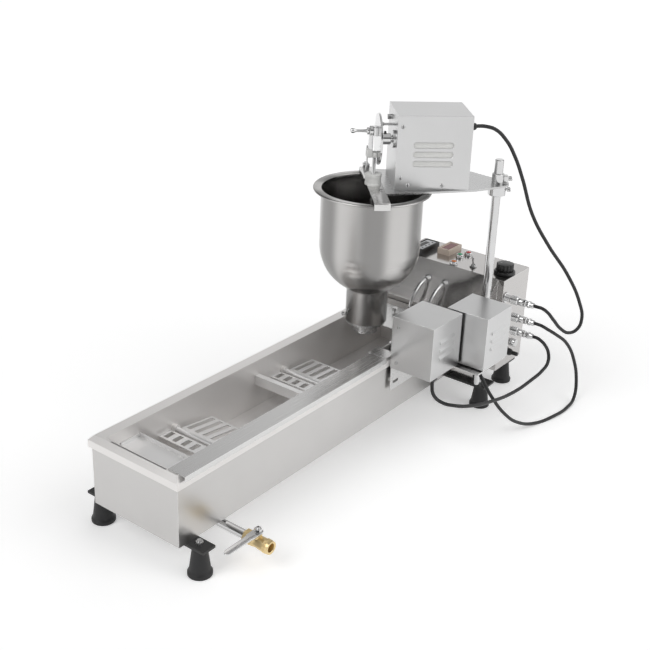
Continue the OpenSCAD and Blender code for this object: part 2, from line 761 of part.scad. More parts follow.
// Adjustable pin block, crank pin and the hand-turning handle
module crank_handle() at_head() color(steel) {
    block([clevis_e1, -9, pin_z - 8.5], [disc_e1, 9, pin_z + 8.5]);
    rod_x(rod_e1 - 0.5, clevis_e1 + eps, 0, pin_z, pin_r);
    rod_x(rod_e1 - 5, rod_e1 - 0.4, 0, pin_z, 7);
    rod_x(rod_e1 - 30, rod_e1 - 5 + eps, 0, pin_z, 3);
    translate([rod_e1 - 32, 0, pin_z]) sphere(r = 5);
}

// Strap over the hopper's rim with a hook at each end, guide pin and stop block
module hopper_strap() at_head() color(steel) {
    w0 = strap_mid - strap_w / 2;
    w1 = strap_mid + strap_w / 2;
    e = hopper_rim_r + 1;
    difference() {
        block([w0, -e - strap_t, strap_z], [w1, e + strap_t, strap_top]);
        rod_z(strap_z - 1, strap_top + 1, 0, 0, plunger_r + 1);
        for (y = [-40, 40]) rod_z(strap_z - 1, strap_top + 1, 11, y, 2.1);
    }
    for (s = [-1, 1]) {
        y0 = s > 0 ? e : -e - strap_t;
        y1 = s > 0 ? e - 7 : -e - eps;
        block([w0, y0, hook_low], [w1, y0 + strap_t, strap_z + eps]);
        block([w0, y1, hook_low], [w1, y1 + 7 + eps, hook_low + 2]);
    }
    block([-7, e - 14, strap_top - eps], [7, e - 2, strap_top + 10]);
    rod_z(strap_top - eps, clevis_z + 3, -10, 31, 1.8);
    translate([-10, 31, clevis_z + 4]) sphere(r = 2.8);
}

module arm_plate() at_head() color(steel) difference() {
    translate([0, 0, plate_z]) linear_extrude(arm_t) union() {
        polygon([[4, post_side - 78.8], [arm_reach - 53, post_side - 46.7],
            [arm_reach - 27, post_side - 36.5], [arm_reach + 12, post_side - 20],
            [arm_reach + 12, post_side + 20], [arm_reach - 18, post_side + 53.4],
            [arm_reach - 37, post_side + 75.6], [arm_reach - 56, head_far + 13], [4, 113]]);
        translate([arm_reach, post_side]) circle(r = 23);
    }
    rod_z(plate_z - 1, plate_z + arm_t + 1, 0, 0, plunger_r + 5);
    rod_z(plate_z - 1, plate_z + arm_t + 1, arm_reach, post_side, post_r + 0.35);
    for (y = [-40, 40]) rod_z(plate_z - 1, plate_z + arm_t + 1, 11, y, 2.1);
}

module on_post() {
    at_head() translate([arm_reach, post_side, 0]) children();
}

// Sleeve above the plate, turning on the post, with the block of its clamp screw
module head_sleeve() on_post() color(steel) difference() {
    union() {
        rod_z(strap_z, strap_z + 20, 0, 0, post_r + 3);
        block([7, -8, strap_z + 2], [20, 8, strap_z + 16]);
    }
    rod_z(strap_z - 1, strap_z + 21, 0, 0, post_r + running);
    rod_x(0, 21, 0, strap_z + 9, 3 + running);
}

module tee_screw(x0, x1, z) {
    rod_x(x0, x1, 0, z, 3);
    rod_x(x1 - eps, x1 + 6, 0, z, 5);
    block([x1 + 2, -11, z - 2], [x1 + 6, 11, z + 2]);
}

module sleeve_screw() on_post() color(steel) tee_screw(post_r + 0.5, 22, strap_z + 9);

// Collar that sets the head's height, with its own clamp screw
module stop_collar() on_post() color(steel) difference() {
    rod_z(plate_z - 21, plate_z - gap, 0, 0, post_r + 9);
    rod_z(plate_z - 22, plate_z, 0, 0, post_r + running);
    rod_x(0, post_r + 10, 0, plate_z - 10, 3 + running);
}

module collar_screw() on_post() color(steel) tee_screw(post_r + 0.5, 21, plate_z - 10);

module post() on_post() color(steel) rod_z(casing_z, post_z, 0, 0, post_r);

// Sheet box over the head's motor, open below, with three slots, a bearing flange,
// a locking knob and a switch lever behind the crank disc
module head_cover() at_head() color(steel) difference() {
    union() {
        block([head_e1, head_near, strap_z], [head_e1 + head_l, head_far, strap_z + head_h]);
        rod_x(head_e1 - 5, head_e1 + eps, 0, crank_z, 17);
        rod_x(head_e1 - 8, head_e1 + eps, 58, gland_z + 3.5, 5);
        rod_x(head_e1 - 23, head_e1 + eps, 20, gland_z - 2, 2.5);
        translate([head_e1 - 23, 20, gland_z - 2]) sphere(r = 4);
    }
    block([head_e1 + sheet, head_near + sheet, strap_z - 1],
        [head_e1 + head_l - sheet, head_far - sheet, strap_z + head_h - sheet]);
    for (i = [0 : 2]) translate([head_e1 + 38.7, head_near - 1, strap_z + 52.3 + 18.4 * i]) {
        translate([0, 0, -6]) cube([67, 4, 12]);
        for (x = [0, 67]) translate([x, 0, 0]) rotate([-90, 0, 0]) cylinder(r = 6, h = 4);
    }
    rod_x(head_e1 - 6, head_e1 + sheet + 1, 0, crank_z, 8);
    rod_x(head_e1 + head_l - 3, head_e1 + head_l + 1, 0, gland_z, 5);
}

module head_gearmotor() at_head() color(dark_steel) difference() {
    union() {
        block([head_e1 + sheet + gap, -24, crank_z - 34], [head_e1 + 40, 50, crank_z + 30]);
        rod_x(head_e1 + 39, head_e1 + 112, 10, crank_z - 4, 29);
        block([head_e1 + 4, -20, strap_z + gap], [head_e1 + 36, 36, crank_z - 33]);
    }
    rod_x(head_e1, head_e1 + 16, 0, crank_z, 6 + running);
}

module round_head(r) {
    cylinder(r = r, h = 1);
    translate([0, 0, 1 - eps]) cylinder(r1 = r, r2 = r * 0.6, h = 1.2);
}

module head_screws() at_head() color(dark_steel) {
    for (y = [-40, 40]) {
        rod_z(plate_z, strap_top + eps, 11, y, 2);
        translate([11, y, strap_top]) round_head(4);
    }
    for (x = head_screw_x)
        translate([x, head_near, strap_z + 9]) rotate([90, 0, 0]) round_head(4);
    for (z = [strap_z + 23.5, strap_z + 125.3])
        translate([head_e1 + 10.2, head_near, z]) rotate([90, 0, 0]) round_head(4);
}

module head_gland() at_head() color(black) {
    rod_x(head_e1 + head_l - 6, head_e1 + head_l + gap, 0, gland_z, 4.8);
    rod_x(head_e1 + head_l, head_e1 + head_l + 5, 0, gland_z, 8, 6);
    translate([head_e1 + head_l, 0, gland_z]) rotate([0, 90, 0]) rotate_extrude($fn = 64)
        polygon([[0, 5 - eps], [6.5, 5 - eps], [6.5, 7], [5.6, 9.5], [4.2, 11.2], [2.4, 12], [0, 12]]);
}

module control_profile(in, z_low) {
    k = in * tan(slope_angle / 2);
    polygon([[head_x + in, z_low], [head_x + in, slope_z - in * tan((90 - slope_angle) / 2)],
        [head_x + slope_l + k, control_z - in], [control_back - in, control_z - in],
        [control_back - in, z_low]]);
}

module control_housing() place() color(steel) difference() {
    union() {
        translate([0, control_far, 0]) rotate([90, 0, 0])
            linear_extrude(control_far + control_near) control_profile(0, casing_z);
        block([side_x, -control_side, casing_z], [control_back, -control_near + 1, control_z]);
    }
    translate([0, control_far - sheet, 0]) rotate([90, 0, 0])
        linear_extrude(control_far + control_near - 2 * sheet) control_profile(sheet, casing_z - 1);
    block([side_x + sheet, -control_side + sheet, casing_z - 1],
        [control_back - sheet, -control_near + 5, control_z - sheet]);
    rod_z(control_z - 3, control_z + 1, knob_at[0], knob_at[1], 3 + running);
    rod_z(control_z - 3, control_z + 1, toggle_at[0], toggle_at[1], 5.2);
    for (p = lamp_at) rod_z(control_z - 3, control_z + 1, p[0], p[1], 6.2);
    for (p = concat(socket_at, [mains_at]))
        rod_y(-control_side - 1, -control_side + 3, p[0], p[1], 8.2);
    for (y = tube_y) rod_x(nut_x - 8, nut_x + 8, y, nut_z, tube_r + 0.5);
}

module control_base() place() color(steel) difference() {
    t = sheet + gap;
    union() {
        block([head_x + t, -control_near + t, casing_z], [control_back - t, control_far - t, casing_z + sheet]);
        block([side_x + t, -control_side + t, casing_z], [control_back - t, -control_near + t + 1, casing_z + sheet]);
    }
    rod_z(casing_z - 1, casing_z + 3, rear_foot_x, -control_side + 23, 9);
}

// One tube: level out of the slope, over the rim, down, and along the tank floor
module tube_leg(y) {
    bend_x = tube_x + tube_bend;
    bend_z = nut_z - tube_bend;
    rod_x(bend_x, nut_x + 20, y, nut_z, tube_r);
    translate([bend_x, y, bend_z]) rotate([90, 0, 0]) rotate([0, 0, 90])
        rotate_extrude(angle = 90) translate([tube_bend, 0]) circle(r = tube_r);
    rod_z(loop_z + 20, bend_z, tube_x, y, tube_r);
    translate([tube_x - 20, y, loop_z + 20]) rotate([90, 0, 0]) rotate([0, 0, -90])
        rotate_extrude(angle = 90) translate([20, 0]) circle(r = tube_r);
    rod_x(loop_x, tube_x - 20, y, loop_z, tube_r);
}

module heating_element() place() color(dark_steel) {
    for (y = tube_y) tube_leg(y);
    translate([loop_x, (tube_y[0] + tube_y[1]) / 2, loop_z]) rotate([0, 0, 90])
        rotate_extrude(angle = 180) translate([(tube_y[0] - tube_y[1]) / 2, 0]) circle(r = tube_r);
    for (x = [loop_x + 80, loop_x + 400, loop_x + 690])
        block([x, tube_y[1] - 9, floor_z + gap], [x + 3, tube_y[0] + 9, loop_z + 2]);
}

// Washer on the slope and a collar along each tube, cut off at the slope
module heater_nuts() place() color(steel) for (y = tube_y) difference() {
    union() {
        translate([nut_x, y, nut_z]) rotate([0, -slope_angle, 0]) cylinder(r = 9.5, h = 1.6);
        rod_x(nut_x - 11, nut_x + 8, y, nut_z, 6.6);
    }
    rod_x(nut_x - 12, nut_x + 12, y, nut_z, tube_r + 1);
    translate([nut_x, y, nut_z]) rotate([0, -slope_angle, 0])
        translate([-20, -10, -20]) cube([40, 20, 20]);
}

module knob() place() color(black) translate([knob_at[0], knob_at[1], control_z]) difference() {
    union() {
        translate([0, 0, -10]) cylinder(r = 3, h = 12);
        translate([0, 0, 0.5]) cylinder(r = 23.5, h = 7);
        translate([0, 0, 7]) cylinder(r1 = 19, r2 = 17.5, h = 16);
    }
    for (a = [0 : 15 : 345]) rotate([0, 0, a]) translate([20.2, 0, 9]) cylinder(r = 1.6, h = 16, $fn = 24);
    translate([0, 14, 22]) cube([1.2, 8, 4], center = true);
}

module toggle() place() color(steel) translate([toggle_at[0], toggle_at[1], control_z + 2]) {
    sphere(r = 4.2, $fn = 32);
    rod_y(-6, 6, 0, 0, 1.5);
    rotate([0, -12, 0]) {
        cylinder(r1 = 1.7, r2 = 2.4, h = 22, $fn = 32);
        translate([0, 0, 22]) sphere(r = 2.6, $fn = 32);
    }
}

// Round lamps in chromed bezels, and the toggle's threaded bushing
module lamps() place() {
    for (p = lamp_at) {
        color(steel) difference() {
            rod_z(control_z, control_z + 4, p[0], p[1], 9);
            rod_z(control_z - 1, control_z + 5, p[0], p[1], 6.1);
        }
        color("firebrick") {
            rod_z(control_z - 8, control_z + 6, p[0], p[1], 6);
        }
    }
    color(steel) difference() {
        union() {
            rod_z(control_z - 8, control_z + 6, toggle_at[0], toggle_at[1], 5.1);
            rod_z(control_z, control_z + 3, toggle_at[0], toggle_at[1], 8, 6);
        }
        rod_z(control_z - 6, control_z + 7, toggle_at[0], toggle_at[1], 4.5);
        rod_y(toggle_at[1] - 6.3, toggle_at[1] + 6.3, toggle_at[0], control_z + 2, 1.5 + running);
    }
}

// Temperature display in a pale case, and the timer in its black frame
module panel_displays() place() {
    color([0.8, 0.72, 0.62]) difference() {
        block([display_x, -6, control_z], [display_x + display_l, 26, control_z + 14]);
        block([display_x + 8, 2, control_z + 12.5], [display_x + display_l - 8, 18, control_z + 15]);
    }
    color(black) difference() {
        block([timer_x, 43, control_z], [timer_x + timer_l, 79, control_z + 13]);
        block([timer_x + 6, 49, control_z + 11.5], [timer_x + timer_l - 6, 73, control_z + 14]);
    }
}

module sockets() place() color(steel) {
    for (p = socket_at) {
        rod_y(-control_side - 2.5, -control_side, p[0], p[1], 12);
        rod_y(-control_side - 14, -control_side + 12, p[0], p[1], 8);
    }
    rod_y(-control_side - 29, -control_side - 14 - gap, socket_at[3][0], socket_at[3][1], 9);
}

module plugs() place() color(steel) for (i = [0 : 2]) {
    p = socket_at[i];
    y = -control_side - 14 - gap;
    rod_y(y - 18, y, p[0], p[1], 10);
    rod_y(y - 36, y - 18 + eps, p[0], p[1], 8);
    rod_y(plug_end_y, y - 36 + eps, p[0], p[1], 6.5);
}

// Mains gland with the stub of its lead, and the glands under the drive boxes
module cord_glands() place() color(black) {
    rod_y(-control_side - 6, -control_side, mains_at[0], mains_at[1], 11, 6);
    rod_y(-control_side - 20, -control_side + 8, mains_at[0], mains_at[1], 8);
    rod_y(-control_side - 34, -control_side - 20 + eps, mains_at[0], mains_at[1], 4.5);
    rod_z(162, box_z + 8, gland_a[0], gland_a[1], 6);
    rod_z(165, box_z, gland_a[0], gland_a[1], 9, 6);
    rod_z(160, box_z + 8, gland_b[0], gland_b[1], 6);
}

// Tube along a route: one ring of points at each route point, square to the route
function unit(v) = v / norm(v);
function heading(route, i) = unit(route[min(i + 1, len(route) - 1)] - route[max(i - 1, 0)]);
function across(v) = unit(cross(v, abs(v[2]) > 0.9 ? [1, 0, 0] : [0, 0, 1]));
function smooth_point(r, i, t) = let(
    n = len(r) - 1,
    p0 = r[max(i - 1, 0)], p1 = r[i], p2 = r[i + 1], p3 = r[min(i + 2, n)])
    0.5 * (2 * p1 + (p2 - p0) * t + (2 * p0 - 5 * p1 + 4 * p2 - p3) * t * t
        + (3 * p1 - p0 - 3 * p2 + p3) * t * t * t);
function smooth_route(r) = concat(
    [for (i = [0 : len(r) - 2]) for (t = [0, 0.5]) smooth_point(r, i, t)], [r[len(r) - 1]]);

module cable(points) {
    route = smooth_route(points);
    sides = 8;
    last = len(route) - 1;
    rings = [for (i = [0 : last]) let(d = heading(route, i), a = across(d), b = cross(d, a))
        for (k = [0 : sides - 1])
            route[i] + cable_r * (cos(360 * k / sides) * a + sin(360 * k / sides) * b)];
    sides_f = [for (i = [0 : last - 1]) for (k = [0 : sides - 1]) let(m = (k + 1) % sides)
        [i * sides + k, i * sides + m, (i + 1) * sides + m, (i + 1) * sides + k]];
    ends = [[for (k = [sides - 1 : -1 : 0]) k], [for (k = [0 : sides - 1]) last * sides + k]];
    polyhedron(rings, concat(sides_f, ends));
}

module cable_1() place() color(black) cable(route_1);

module cable_2() place() color(black) cable(route_2);

module cable_3() place() color(black) cable(route_3);

casing();
oil_tank();
channel_divider();
cover_strip();
discharge_tray();
fixed_racks();
rear_cover();
flipper_1();
flipper_2();
crank_arm_1();
crank_arm_2();
pull_rod_1();
pull_rod_2();
bracket_a();
bracket_b();
motor_cover_a();
motor_cover_b();
gearmotor_a();
gearmotor_b();
crossbars();
feet();
base_fasteners();
drain_pipe();
valve_body();
valve_ball();
valve_lever();
hopper();
dough_mould();
mould_screw();
plunger();
clevis();
rod_guide();
con_rod();
crank_disc();
crank_handle();
hopper_strap();
arm_plate();
head_sleeve();
sleeve_screw();
stop_collar();
collar_screw();
post();
head_cover();
head_gearmotor();
head_screws();
head_gland();
control_housing();
control_base();
heating_element();
heater_nuts();
knob();
toggle();
lamps();
panel_displays();
sockets();
plugs();
cord_glands();
cable_1();
cable_2();
cable_3();
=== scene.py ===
import json
import math
import bmesh
import bpy
from mathutils import Matrix, Vector


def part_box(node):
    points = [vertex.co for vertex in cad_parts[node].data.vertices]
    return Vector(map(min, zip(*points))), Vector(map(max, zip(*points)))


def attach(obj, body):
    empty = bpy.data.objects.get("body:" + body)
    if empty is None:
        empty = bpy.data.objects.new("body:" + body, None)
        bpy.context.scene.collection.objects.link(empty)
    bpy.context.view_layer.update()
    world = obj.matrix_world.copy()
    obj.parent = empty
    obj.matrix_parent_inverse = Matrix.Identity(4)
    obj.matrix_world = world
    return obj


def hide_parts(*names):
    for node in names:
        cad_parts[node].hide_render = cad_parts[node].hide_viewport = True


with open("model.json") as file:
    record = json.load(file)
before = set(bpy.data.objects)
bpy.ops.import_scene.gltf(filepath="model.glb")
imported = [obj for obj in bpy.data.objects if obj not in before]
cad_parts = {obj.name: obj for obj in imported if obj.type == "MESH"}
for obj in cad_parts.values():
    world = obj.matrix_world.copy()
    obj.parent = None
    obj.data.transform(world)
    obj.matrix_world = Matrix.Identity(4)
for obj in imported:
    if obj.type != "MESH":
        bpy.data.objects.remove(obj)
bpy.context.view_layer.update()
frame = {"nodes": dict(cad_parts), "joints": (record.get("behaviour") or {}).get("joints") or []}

nodes = frame["nodes"]
millimetre = 0.001
upward = Vector((0, 0, 1))

# Places are measured in millimetres from the discharge end, the tank's centre line and the floor
rimLow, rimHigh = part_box("oil_tank")
endX = rimLow.x
midY = (rimLow.y + rimHigh.y) / 2


def spot(x, y, z):
    return Vector((endX + x * millimetre, midY + y * millimetre, z * millimetre))


# The trough's frame, and the arm's: from the hopper's axis along the arm to the post, and across it
crankJoint = [joint for joint in frame["joints"] if joint["name"] == "crank_spin"][0]
alongArm = Vector(crankJoint["axis"]).normalized()
acrossArm = upward.cross(alongArm)
hopperLow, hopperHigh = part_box("hopper")
hopperAxis = (hopperLow + hopperHigh) / 2
hopperAxis.z = 0
armTurn = Matrix((alongArm, acrossArm, upward)).transposed()
armFrame = Matrix.Translation(hopperAxis) @ armTurn.to_4x4()
troughFrame = Matrix.Translation(spot(0, 0, 0))


# The camera stands where the photograph was taken from
cameraLook = {"place": (-1043.25, -1178.63, 1162.6), "right": (0.6125, -0.7898, 0.0339),
              "up": (0.2992, 0.2712, 0.9149), "lens": 60.325, "sensor": 36, "shift": (-0.0032, -0.031), "far": 50}


def makeCamera(look):
    lens = bpy.data.cameras.new("camera")
    lens.sensor_width = look["sensor"]
    lens.lens = look["lens"]
    lens.shift_x, lens.shift_y = look["shift"]
    lens.clip_end = look["far"]
    camera = bpy.data.objects.new("camera", lens)
    bpy.context.scene.collection.objects.link(camera)
    right = Vector(look["right"]).normalized()
    back = right.cross(Vector(look["up"])).normalized()
    up = back.cross(right)
    turn = Matrix((right, up, back)).transposed()
    camera.matrix_world = Matrix.Translation(spot(*look["place"])) @ turn.to_4x4()
    bpy.context.scene.camera = camera


makeCamera(cameraLook)
print("camera placed")


# Materials are built from nodes; a socket takes a plain value, or the output that feeds it
def feed(tree, socket, value):
    if isinstance(value, bpy.types.NodeSocket):
        tree.links.new(value, socket)
    else:
        socket.default_value = value


def addNode(tree, kind, **values):
    node = tree.nodes.new(kind)
    for key, value in values.items():
        if key in node.inputs:
            feed(tree, node.inputs[key], value)
        else:
            setattr(node, key, value)
    return node


def startMaterial(name):
    material = bpy.data.materials.new(name)
    material.use_nodes = True
    tree = material.node_tree
    return material, tree, tree.nodes["Principled BSDF"]


def grainCoords(tree, scale, turn=(0, 0, 0)):
    coords = addNode(tree, "ShaderNodeTexCoord")
    mapping = addNode(tree, "ShaderNodeMapping", Vector=coords.outputs["Object"], Scale=scale, Rotation=turn)
    return mapping.outputs["Vector"]


def addMaths(tree, operation, *values, **settings):
    node = addNode(tree, "ShaderNodeMath", operation=operation, **settings)
    for socket, value in zip(node.inputs, values):
        feed(tree, socket, value)
    return node.outputs[0]


def addDot(tree, first, second):
    node = addNode(tree, "ShaderNodeVectorMath", operation="DOT_PRODUCT")
    feed(tree, node.inputs[0], first)
    feed(tree, node.inputs[1], second)
    return node.outputs["Value"]


def ranged(tree, value, before, after, blend="LINEAR"):
    remap = addNode(tree, "ShaderNodeMapRange", interpolation_type=blend)
    for name, limit in zip(("From Min", "From Max", "To Min", "To Max"), (*before, *after)):
        remap.inputs[name].default_value = limit
    feed(tree, remap.inputs["Value"], value)
    return remap.outputs["Result"]


def mixColours(tree, amount, first, second):
    blend = addNode(tree, "ShaderNodeMix", data_type="RGBA")
    for index, value in ((0, amount), (6, first), (7, second)):
        feed(tree, blend.inputs[index], value)
    return blend.outputs[2]


def shadeOf(colour, amount):
    return (*[c * amount for c in colour], 1)


# Painted highlight: folds and cut edges are lightened in the base colour where the bevel normal turns from the
# surface normal
edgeHighlight = {"colour": (0.97, 0.97, 0.97, 1), "bend": (0.8, 0.99)}


def paintEdgeHighlight(tree, colour, edges, amount):
    geometry = addNode(tree, "ShaderNodeNewGeometry")
    flatness = addDot(tree, edges, geometry.outputs["Normal"])
    highlighted = ranged(tree, flatness, edgeHighlight["bend"], (amount, 0))
    return mixColours(tree, highlighted, colour, edgeHighlight["colour"])


# Painted reflection: soft light and dark bands up a spun body, by the angle round its centre
def paintedReflectionBands(tree, colour, look):
    coords = addNode(tree, "ShaderNodeTexCoord")
    moved = addNode(tree, "ShaderNodeMapping", vector_type="TEXTURE", Vector=coords.outputs["Object"],
                    Location=look["centre"])
    split = addNode(tree, "ShaderNodeSeparateXYZ", Vector=moved.outputs["Vector"])
    angle = addMaths(tree, "ARCTAN2", split.outputs["Y"], split.outputs["X"])
    wave = addMaths(tree, "SINE", addMaths(tree, "MULTIPLY_ADD", angle, look["count"], look["start"]))
    shade = ranged(tree, wave, (-1, 1), (look["dark"], 1), "SMOOTHERSTEP")
    shaded = addNode(tree, "ShaderNodeVectorMath", operation="SCALE", Vector=colour, Scale=shade)
    return shaded.outputs["Vector"]


# The grain varies the roughness and raises a fine bump over softened edges
def addGrain(tree, shader, look, fine, edges):
    shader.inputs["Metallic"].default_value = look["metal"]
    tree.links.new(ranged(tree, fine, (0, 1), look["roughness"]), shader.inputs["Roughness"])
    bump = addNode(tree, "ShaderNodeBump", Strength=look["bump"], Distance=look["depth"], Height=fine, Normal=edges)
    tree.links.new(bump.outputs["Normal"], shader.inputs["Normal"])


def softEdges(tree, radius):
    return addNode(tree, "ShaderNodeBevel", samples=4, Radius=radius).outputs["Normal"]


# Steel with a fine grain along one direction and faint cloudy marks; dim is the marks' shade
steelUsual = {"metal": 1, "dim": 0.9, "edge": 0.0007, "turn": (0, 0, 0), "clouds": (9, 9, 9), "depth": 0.0004}


def brushedSteel(name, **values):
    look = steelUsual | values
    material, tree, shader = startMaterial(name)
    if "turned" in look:
        tangent = addNode(tree, "ShaderNodeTangent", direction_type="RADIAL", axis="Z")
        shader.inputs["Anisotropic"].default_value = look["turned"]
        tree.links.new(tangent.outputs["Tangent"], shader.inputs["Tangent"])
    fine = addNode(tree, "ShaderNodeTexNoise", Vector=grainCoords(tree, look["grain"], look["turn"]),
                   Scale=1.0, Detail=4.0, Roughness=0.6).outputs["Fac"]
    clouds = addNode(tree, "ShaderNodeTexNoise", Vector=grainCoords(tree, look["clouds"]),
                     Scale=1.0, Detail=3.0, Roughness=0.55).outputs["Fac"]
    colour = mixColours(tree, clouds, shadeOf(look["color"], look["dim"]), shadeOf(look["color"], 1))
    edges = softEdges(tree, look["edge"])
    # Painted reflection bands, light and dark round the axis, in the base colour
    if "streaks" in look:
        colour = paintedReflectionBands(tree, colour, look["streaks"])
    # Painted highlight along folds and edges, mixed into the base colour
    if "worn" in look:
        colour = paintEdgeHighlight(tree, colour, edges, look["worn"])
    tree.links.new(colour, shader.inputs["Base Color"])
    addGrain(tree, shader, look, fine, edges)
    return material


# Rubber, plastic and paint: a base colour with a fine texture
mouldedUsual = {"metal": 0, "dim": 0.82, "edge": 0.0006, "depth": 0.0005}


def mouldedFinish(name, **values):
    look = mouldedUsual | values
    material, tree, shader = startMaterial(name)
    fine = addNode(tree, "ShaderNodeTexNoise", Vector=grainCoords(tree, (1, 1, 1)), Scale=look["scale"],
                   Detail=5.0, Roughness=0.6).outputs["Fac"]
    colour = mixColours(tree, fine, shadeOf(look["color"], look["dim"]), shadeOf(look["color"], 1))
    tree.links.new(colour, shader.inputs["Base Color"])
    addGrain(tree, shader, look, fine, softEdges(tree, look["edge"]))
    return material


# The hopper's painted reflection bands turn about its own axis
hopperReflectionBands = {"centre": hopperAxis[:], "count": 6, "start": 0.73, "dark": 0.5}

# worn sets the strength of the painted edge highlight
finishes = {
    "sideSheet": brushedSteel("side sheet steel", color=(0.62, 0.61, 0.6), grain=(4, 700, 700),
                              roughness=(0.24, 0.36), bump=0.05, edge=0.0011, worn=0.8),
    "housingSheet": brushedSteel("housing sheet steel", color=(0.6, 0.585, 0.575), grain=(600, 5, 600),
                                 roughness=(0.13, 0.22), bump=0.04, edge=0.0011, worn=0.8),
    "foldedSheet": brushedSteel("folded sheet steel", color=(0.72, 0.715, 0.71), grain=(5, 600, 600),
                                roughness=(0.2, 0.32), bump=0.04, edge=0.0009, worn=0.7),
    "tankSheet": brushedSteel("tank sheet steel", color=(0.86, 0.84, 0.825), grain=(6, 500, 500),
                              dim=0.94, metal=0.55, roughness=(0.3, 0.42), bump=0.04),
    "rackSheet": brushedSteel("rack sheet steel", color=(0.88, 0.875, 0.87), grain=(6, 500, 500),
                              dim=0.94, metal=0.6, roughness=(0.24, 0.36), bump=0.04),
    "coverSheet": brushedSteel("cover sheet steel", color=(0.66, 0.66, 0.66), grain=(500, 500, 6),
                               roughness=(0.25, 0.36), bump=0.04, edge=0.0012, worn=0.85),
    "armSheet": brushedSteel("arm sheet steel", color=(0.6, 0.6, 0.6), grain=(500, 8, 500),
                             turn=(0, 0, 0.72), roughness=(0.22, 0.34), bump=0.05),
    # The spun steel carries painted reflection bands round the hopper
    "spunSteel": brushedSteel("spun steel", color=(0.6, 0.59, 0.58), grain=(5, 5, 700),
                              roughness=(0.2, 0.3), bump=0.03, turned=0.85, streaks=hopperReflectionBands),
    "polished": brushedSteel("polished steel", color=(0.7, 0.7, 0.7), grain=(120, 120, 120),
                             roughness=(0.08, 0.16), bump=0.02, edge=0.0004),
    "machined": brushedSteel("machined steel", color=(0.55, 0.55, 0.55), grain=(300, 300, 300),
                             roughness=(0.2, 0.34), bump=0.05, edge=0.0004),
    "brass": brushedSteel("brass", color=(0.84, 0.66, 0.36), grain=(250, 250, 250), dim=0.85,
                          roughness=(0.32, 0.46), bump=0.06, edge=0.0005),
    "rubber": mouldedFinish("foot rubber", color=(0.012, 0.012, 0.013), scale=400, roughness=(0.4, 0.6), bump=0.2),
    "cordRubber": mouldedFinish("cord rubber", color=(0.012, 0.012, 0.013), scale=300,
                                roughness=(0.32, 0.48), bump=0.08),
    "blackPlastic": mouldedFinish("black plastic", color=(0.012, 0.012, 0.012), scale=500,
                                  roughness=(0.28, 0.4), bump=0.05),
    "barPaint": mouldedFinish("black bar paint", color=(0.02, 0.02, 0.02), scale=200,
                              roughness=(0.4, 0.55), bump=0.1),
    "nylon": mouldedFinish("white nylon", color=(0.84, 0.84, 0.82), scale=150, roughness=(0.35, 0.5), bump=0.04),
    "palePlastic": mouldedFinish("pale case plastic", color=(0.62, 0.52, 0.44), scale=300,
                                 roughness=(0.4, 0.5), bump=0.05),
    "redLens": mouldedFinish("red lens", color=(0.6, 0.03, 0.03), scale=80, roughness=(0.1, 0.2), bump=0.02),
    "greenLens": mouldedFinish("green lens", color=(0.02, 0.35, 0.16), scale=80, roughness=(0.1, 0.2), bump=0.02),
    "greyFace": mouldedFinish("grey printed face", color=(0.5, 0.51, 0.52), scale=200,
                              roughness=(0.3, 0.4), bump=0.03),
    "redWindow": mouldedFinish("dark red window", color=(0.16, 0.015, 0.02), scale=60,
                               roughness=(0.08, 0.14), bump=0.01),
    "orangeLens": mouldedFinish("orange lens", color=(0.75, 0.2, 0.03), scale=80, roughness=(0.1, 0.2), bump=0.02),
}

nodeFinish = {
    "sideSheet": ["casing", "control_base"],
    "housingSheet": ["control_housing"],
    "foldedSheet": ["cover_strip", "rear_cover", "bracket_a", "bracket_b", "hopper_strap"],
    "rackSheet": ["discharge_tray", "fixed_racks", "flipper_1", "flipper_2"],
    "tankSheet": ["oil_tank", "channel_divider"],
    "coverSheet": ["motor_cover_a", "motor_cover_b", "head_cover"],
    "armSheet": ["arm_plate"],
    "spunSteel": ["hopper"],
    "polished": ["post", "stop_collar", "head_sleeve", "sleeve_screw", "collar_screw", "mould_screw", "plunger",
                 "con_rod", "crank_disc", "crank_handle", "heating_element", "heater_nuts", "toggle", "lamps",
                 "sockets", "plugs", "valve_ball", "valve_lever", "drain_pipe"],
    "machined": ["gearmotor_a", "gearmotor_b", "head_gearmotor", "base_fasteners", "head_screws",
                 "crank_arm_1", "crank_arm_2", "pull_rod_1", "pull_rod_2", "dough_mould"],
    "brass": ["valve_body"],
    "rubber": ["feet"],
    "cordRubber": ["cable_1", "cable_2", "cable_3"],
    "blackPlastic": ["knob", "head_gland", "cord_glands", "panel_displays"],
    "barPaint": ["crossbars"],
    "nylon": ["clevis", "rod_guide"],
}


def dress(piece, finish):
    piece.data.materials.clear()
    piece.data.materials.append(finishes[finish])


for finish, names in nodeFinish.items():
    for name in names:
        dress(nodes[name], finish)
print("finishes given to the frame's nodes")


# Helpers for the pieces: every part is shaped in millimetres, then put in its place
quarter = math.pi / 2
turns = {"z": Matrix.Identity(4),
         "x": Matrix.Rotation(quarter, 4, "Y"), "-x": Matrix.Rotation(-quarter, 4, "Y"),
         "y": Matrix.Rotation(-quarter, 4, "X"), "-y": Matrix.Rotation(quarter, 4, "X")}
sideOn = Matrix(((0, 0, 1, 0), (1, 0, 0, 0), (0, 1, 0, 0), (0, 0, 0, 1)))  # outline across the arm, raised along it
hexagon, octagon = 6, 8
slack = 1e-6  # metres


def at(base, x, y, z, axis="z"):
    return base @ Matrix.Translation(Vector((x, y, z)) * millimetre) @ turns[axis]


def absorb(bm, part, place):
    bmesh.ops.transform(part, matrix=place, verts=part.verts)
    carrier = bpy.data.meshes.new("carrier")
    part.to_mesh(carrier)
    part.free()
    bm.from_mesh(carrier)
    bpy.data.meshes.remove(carrier)


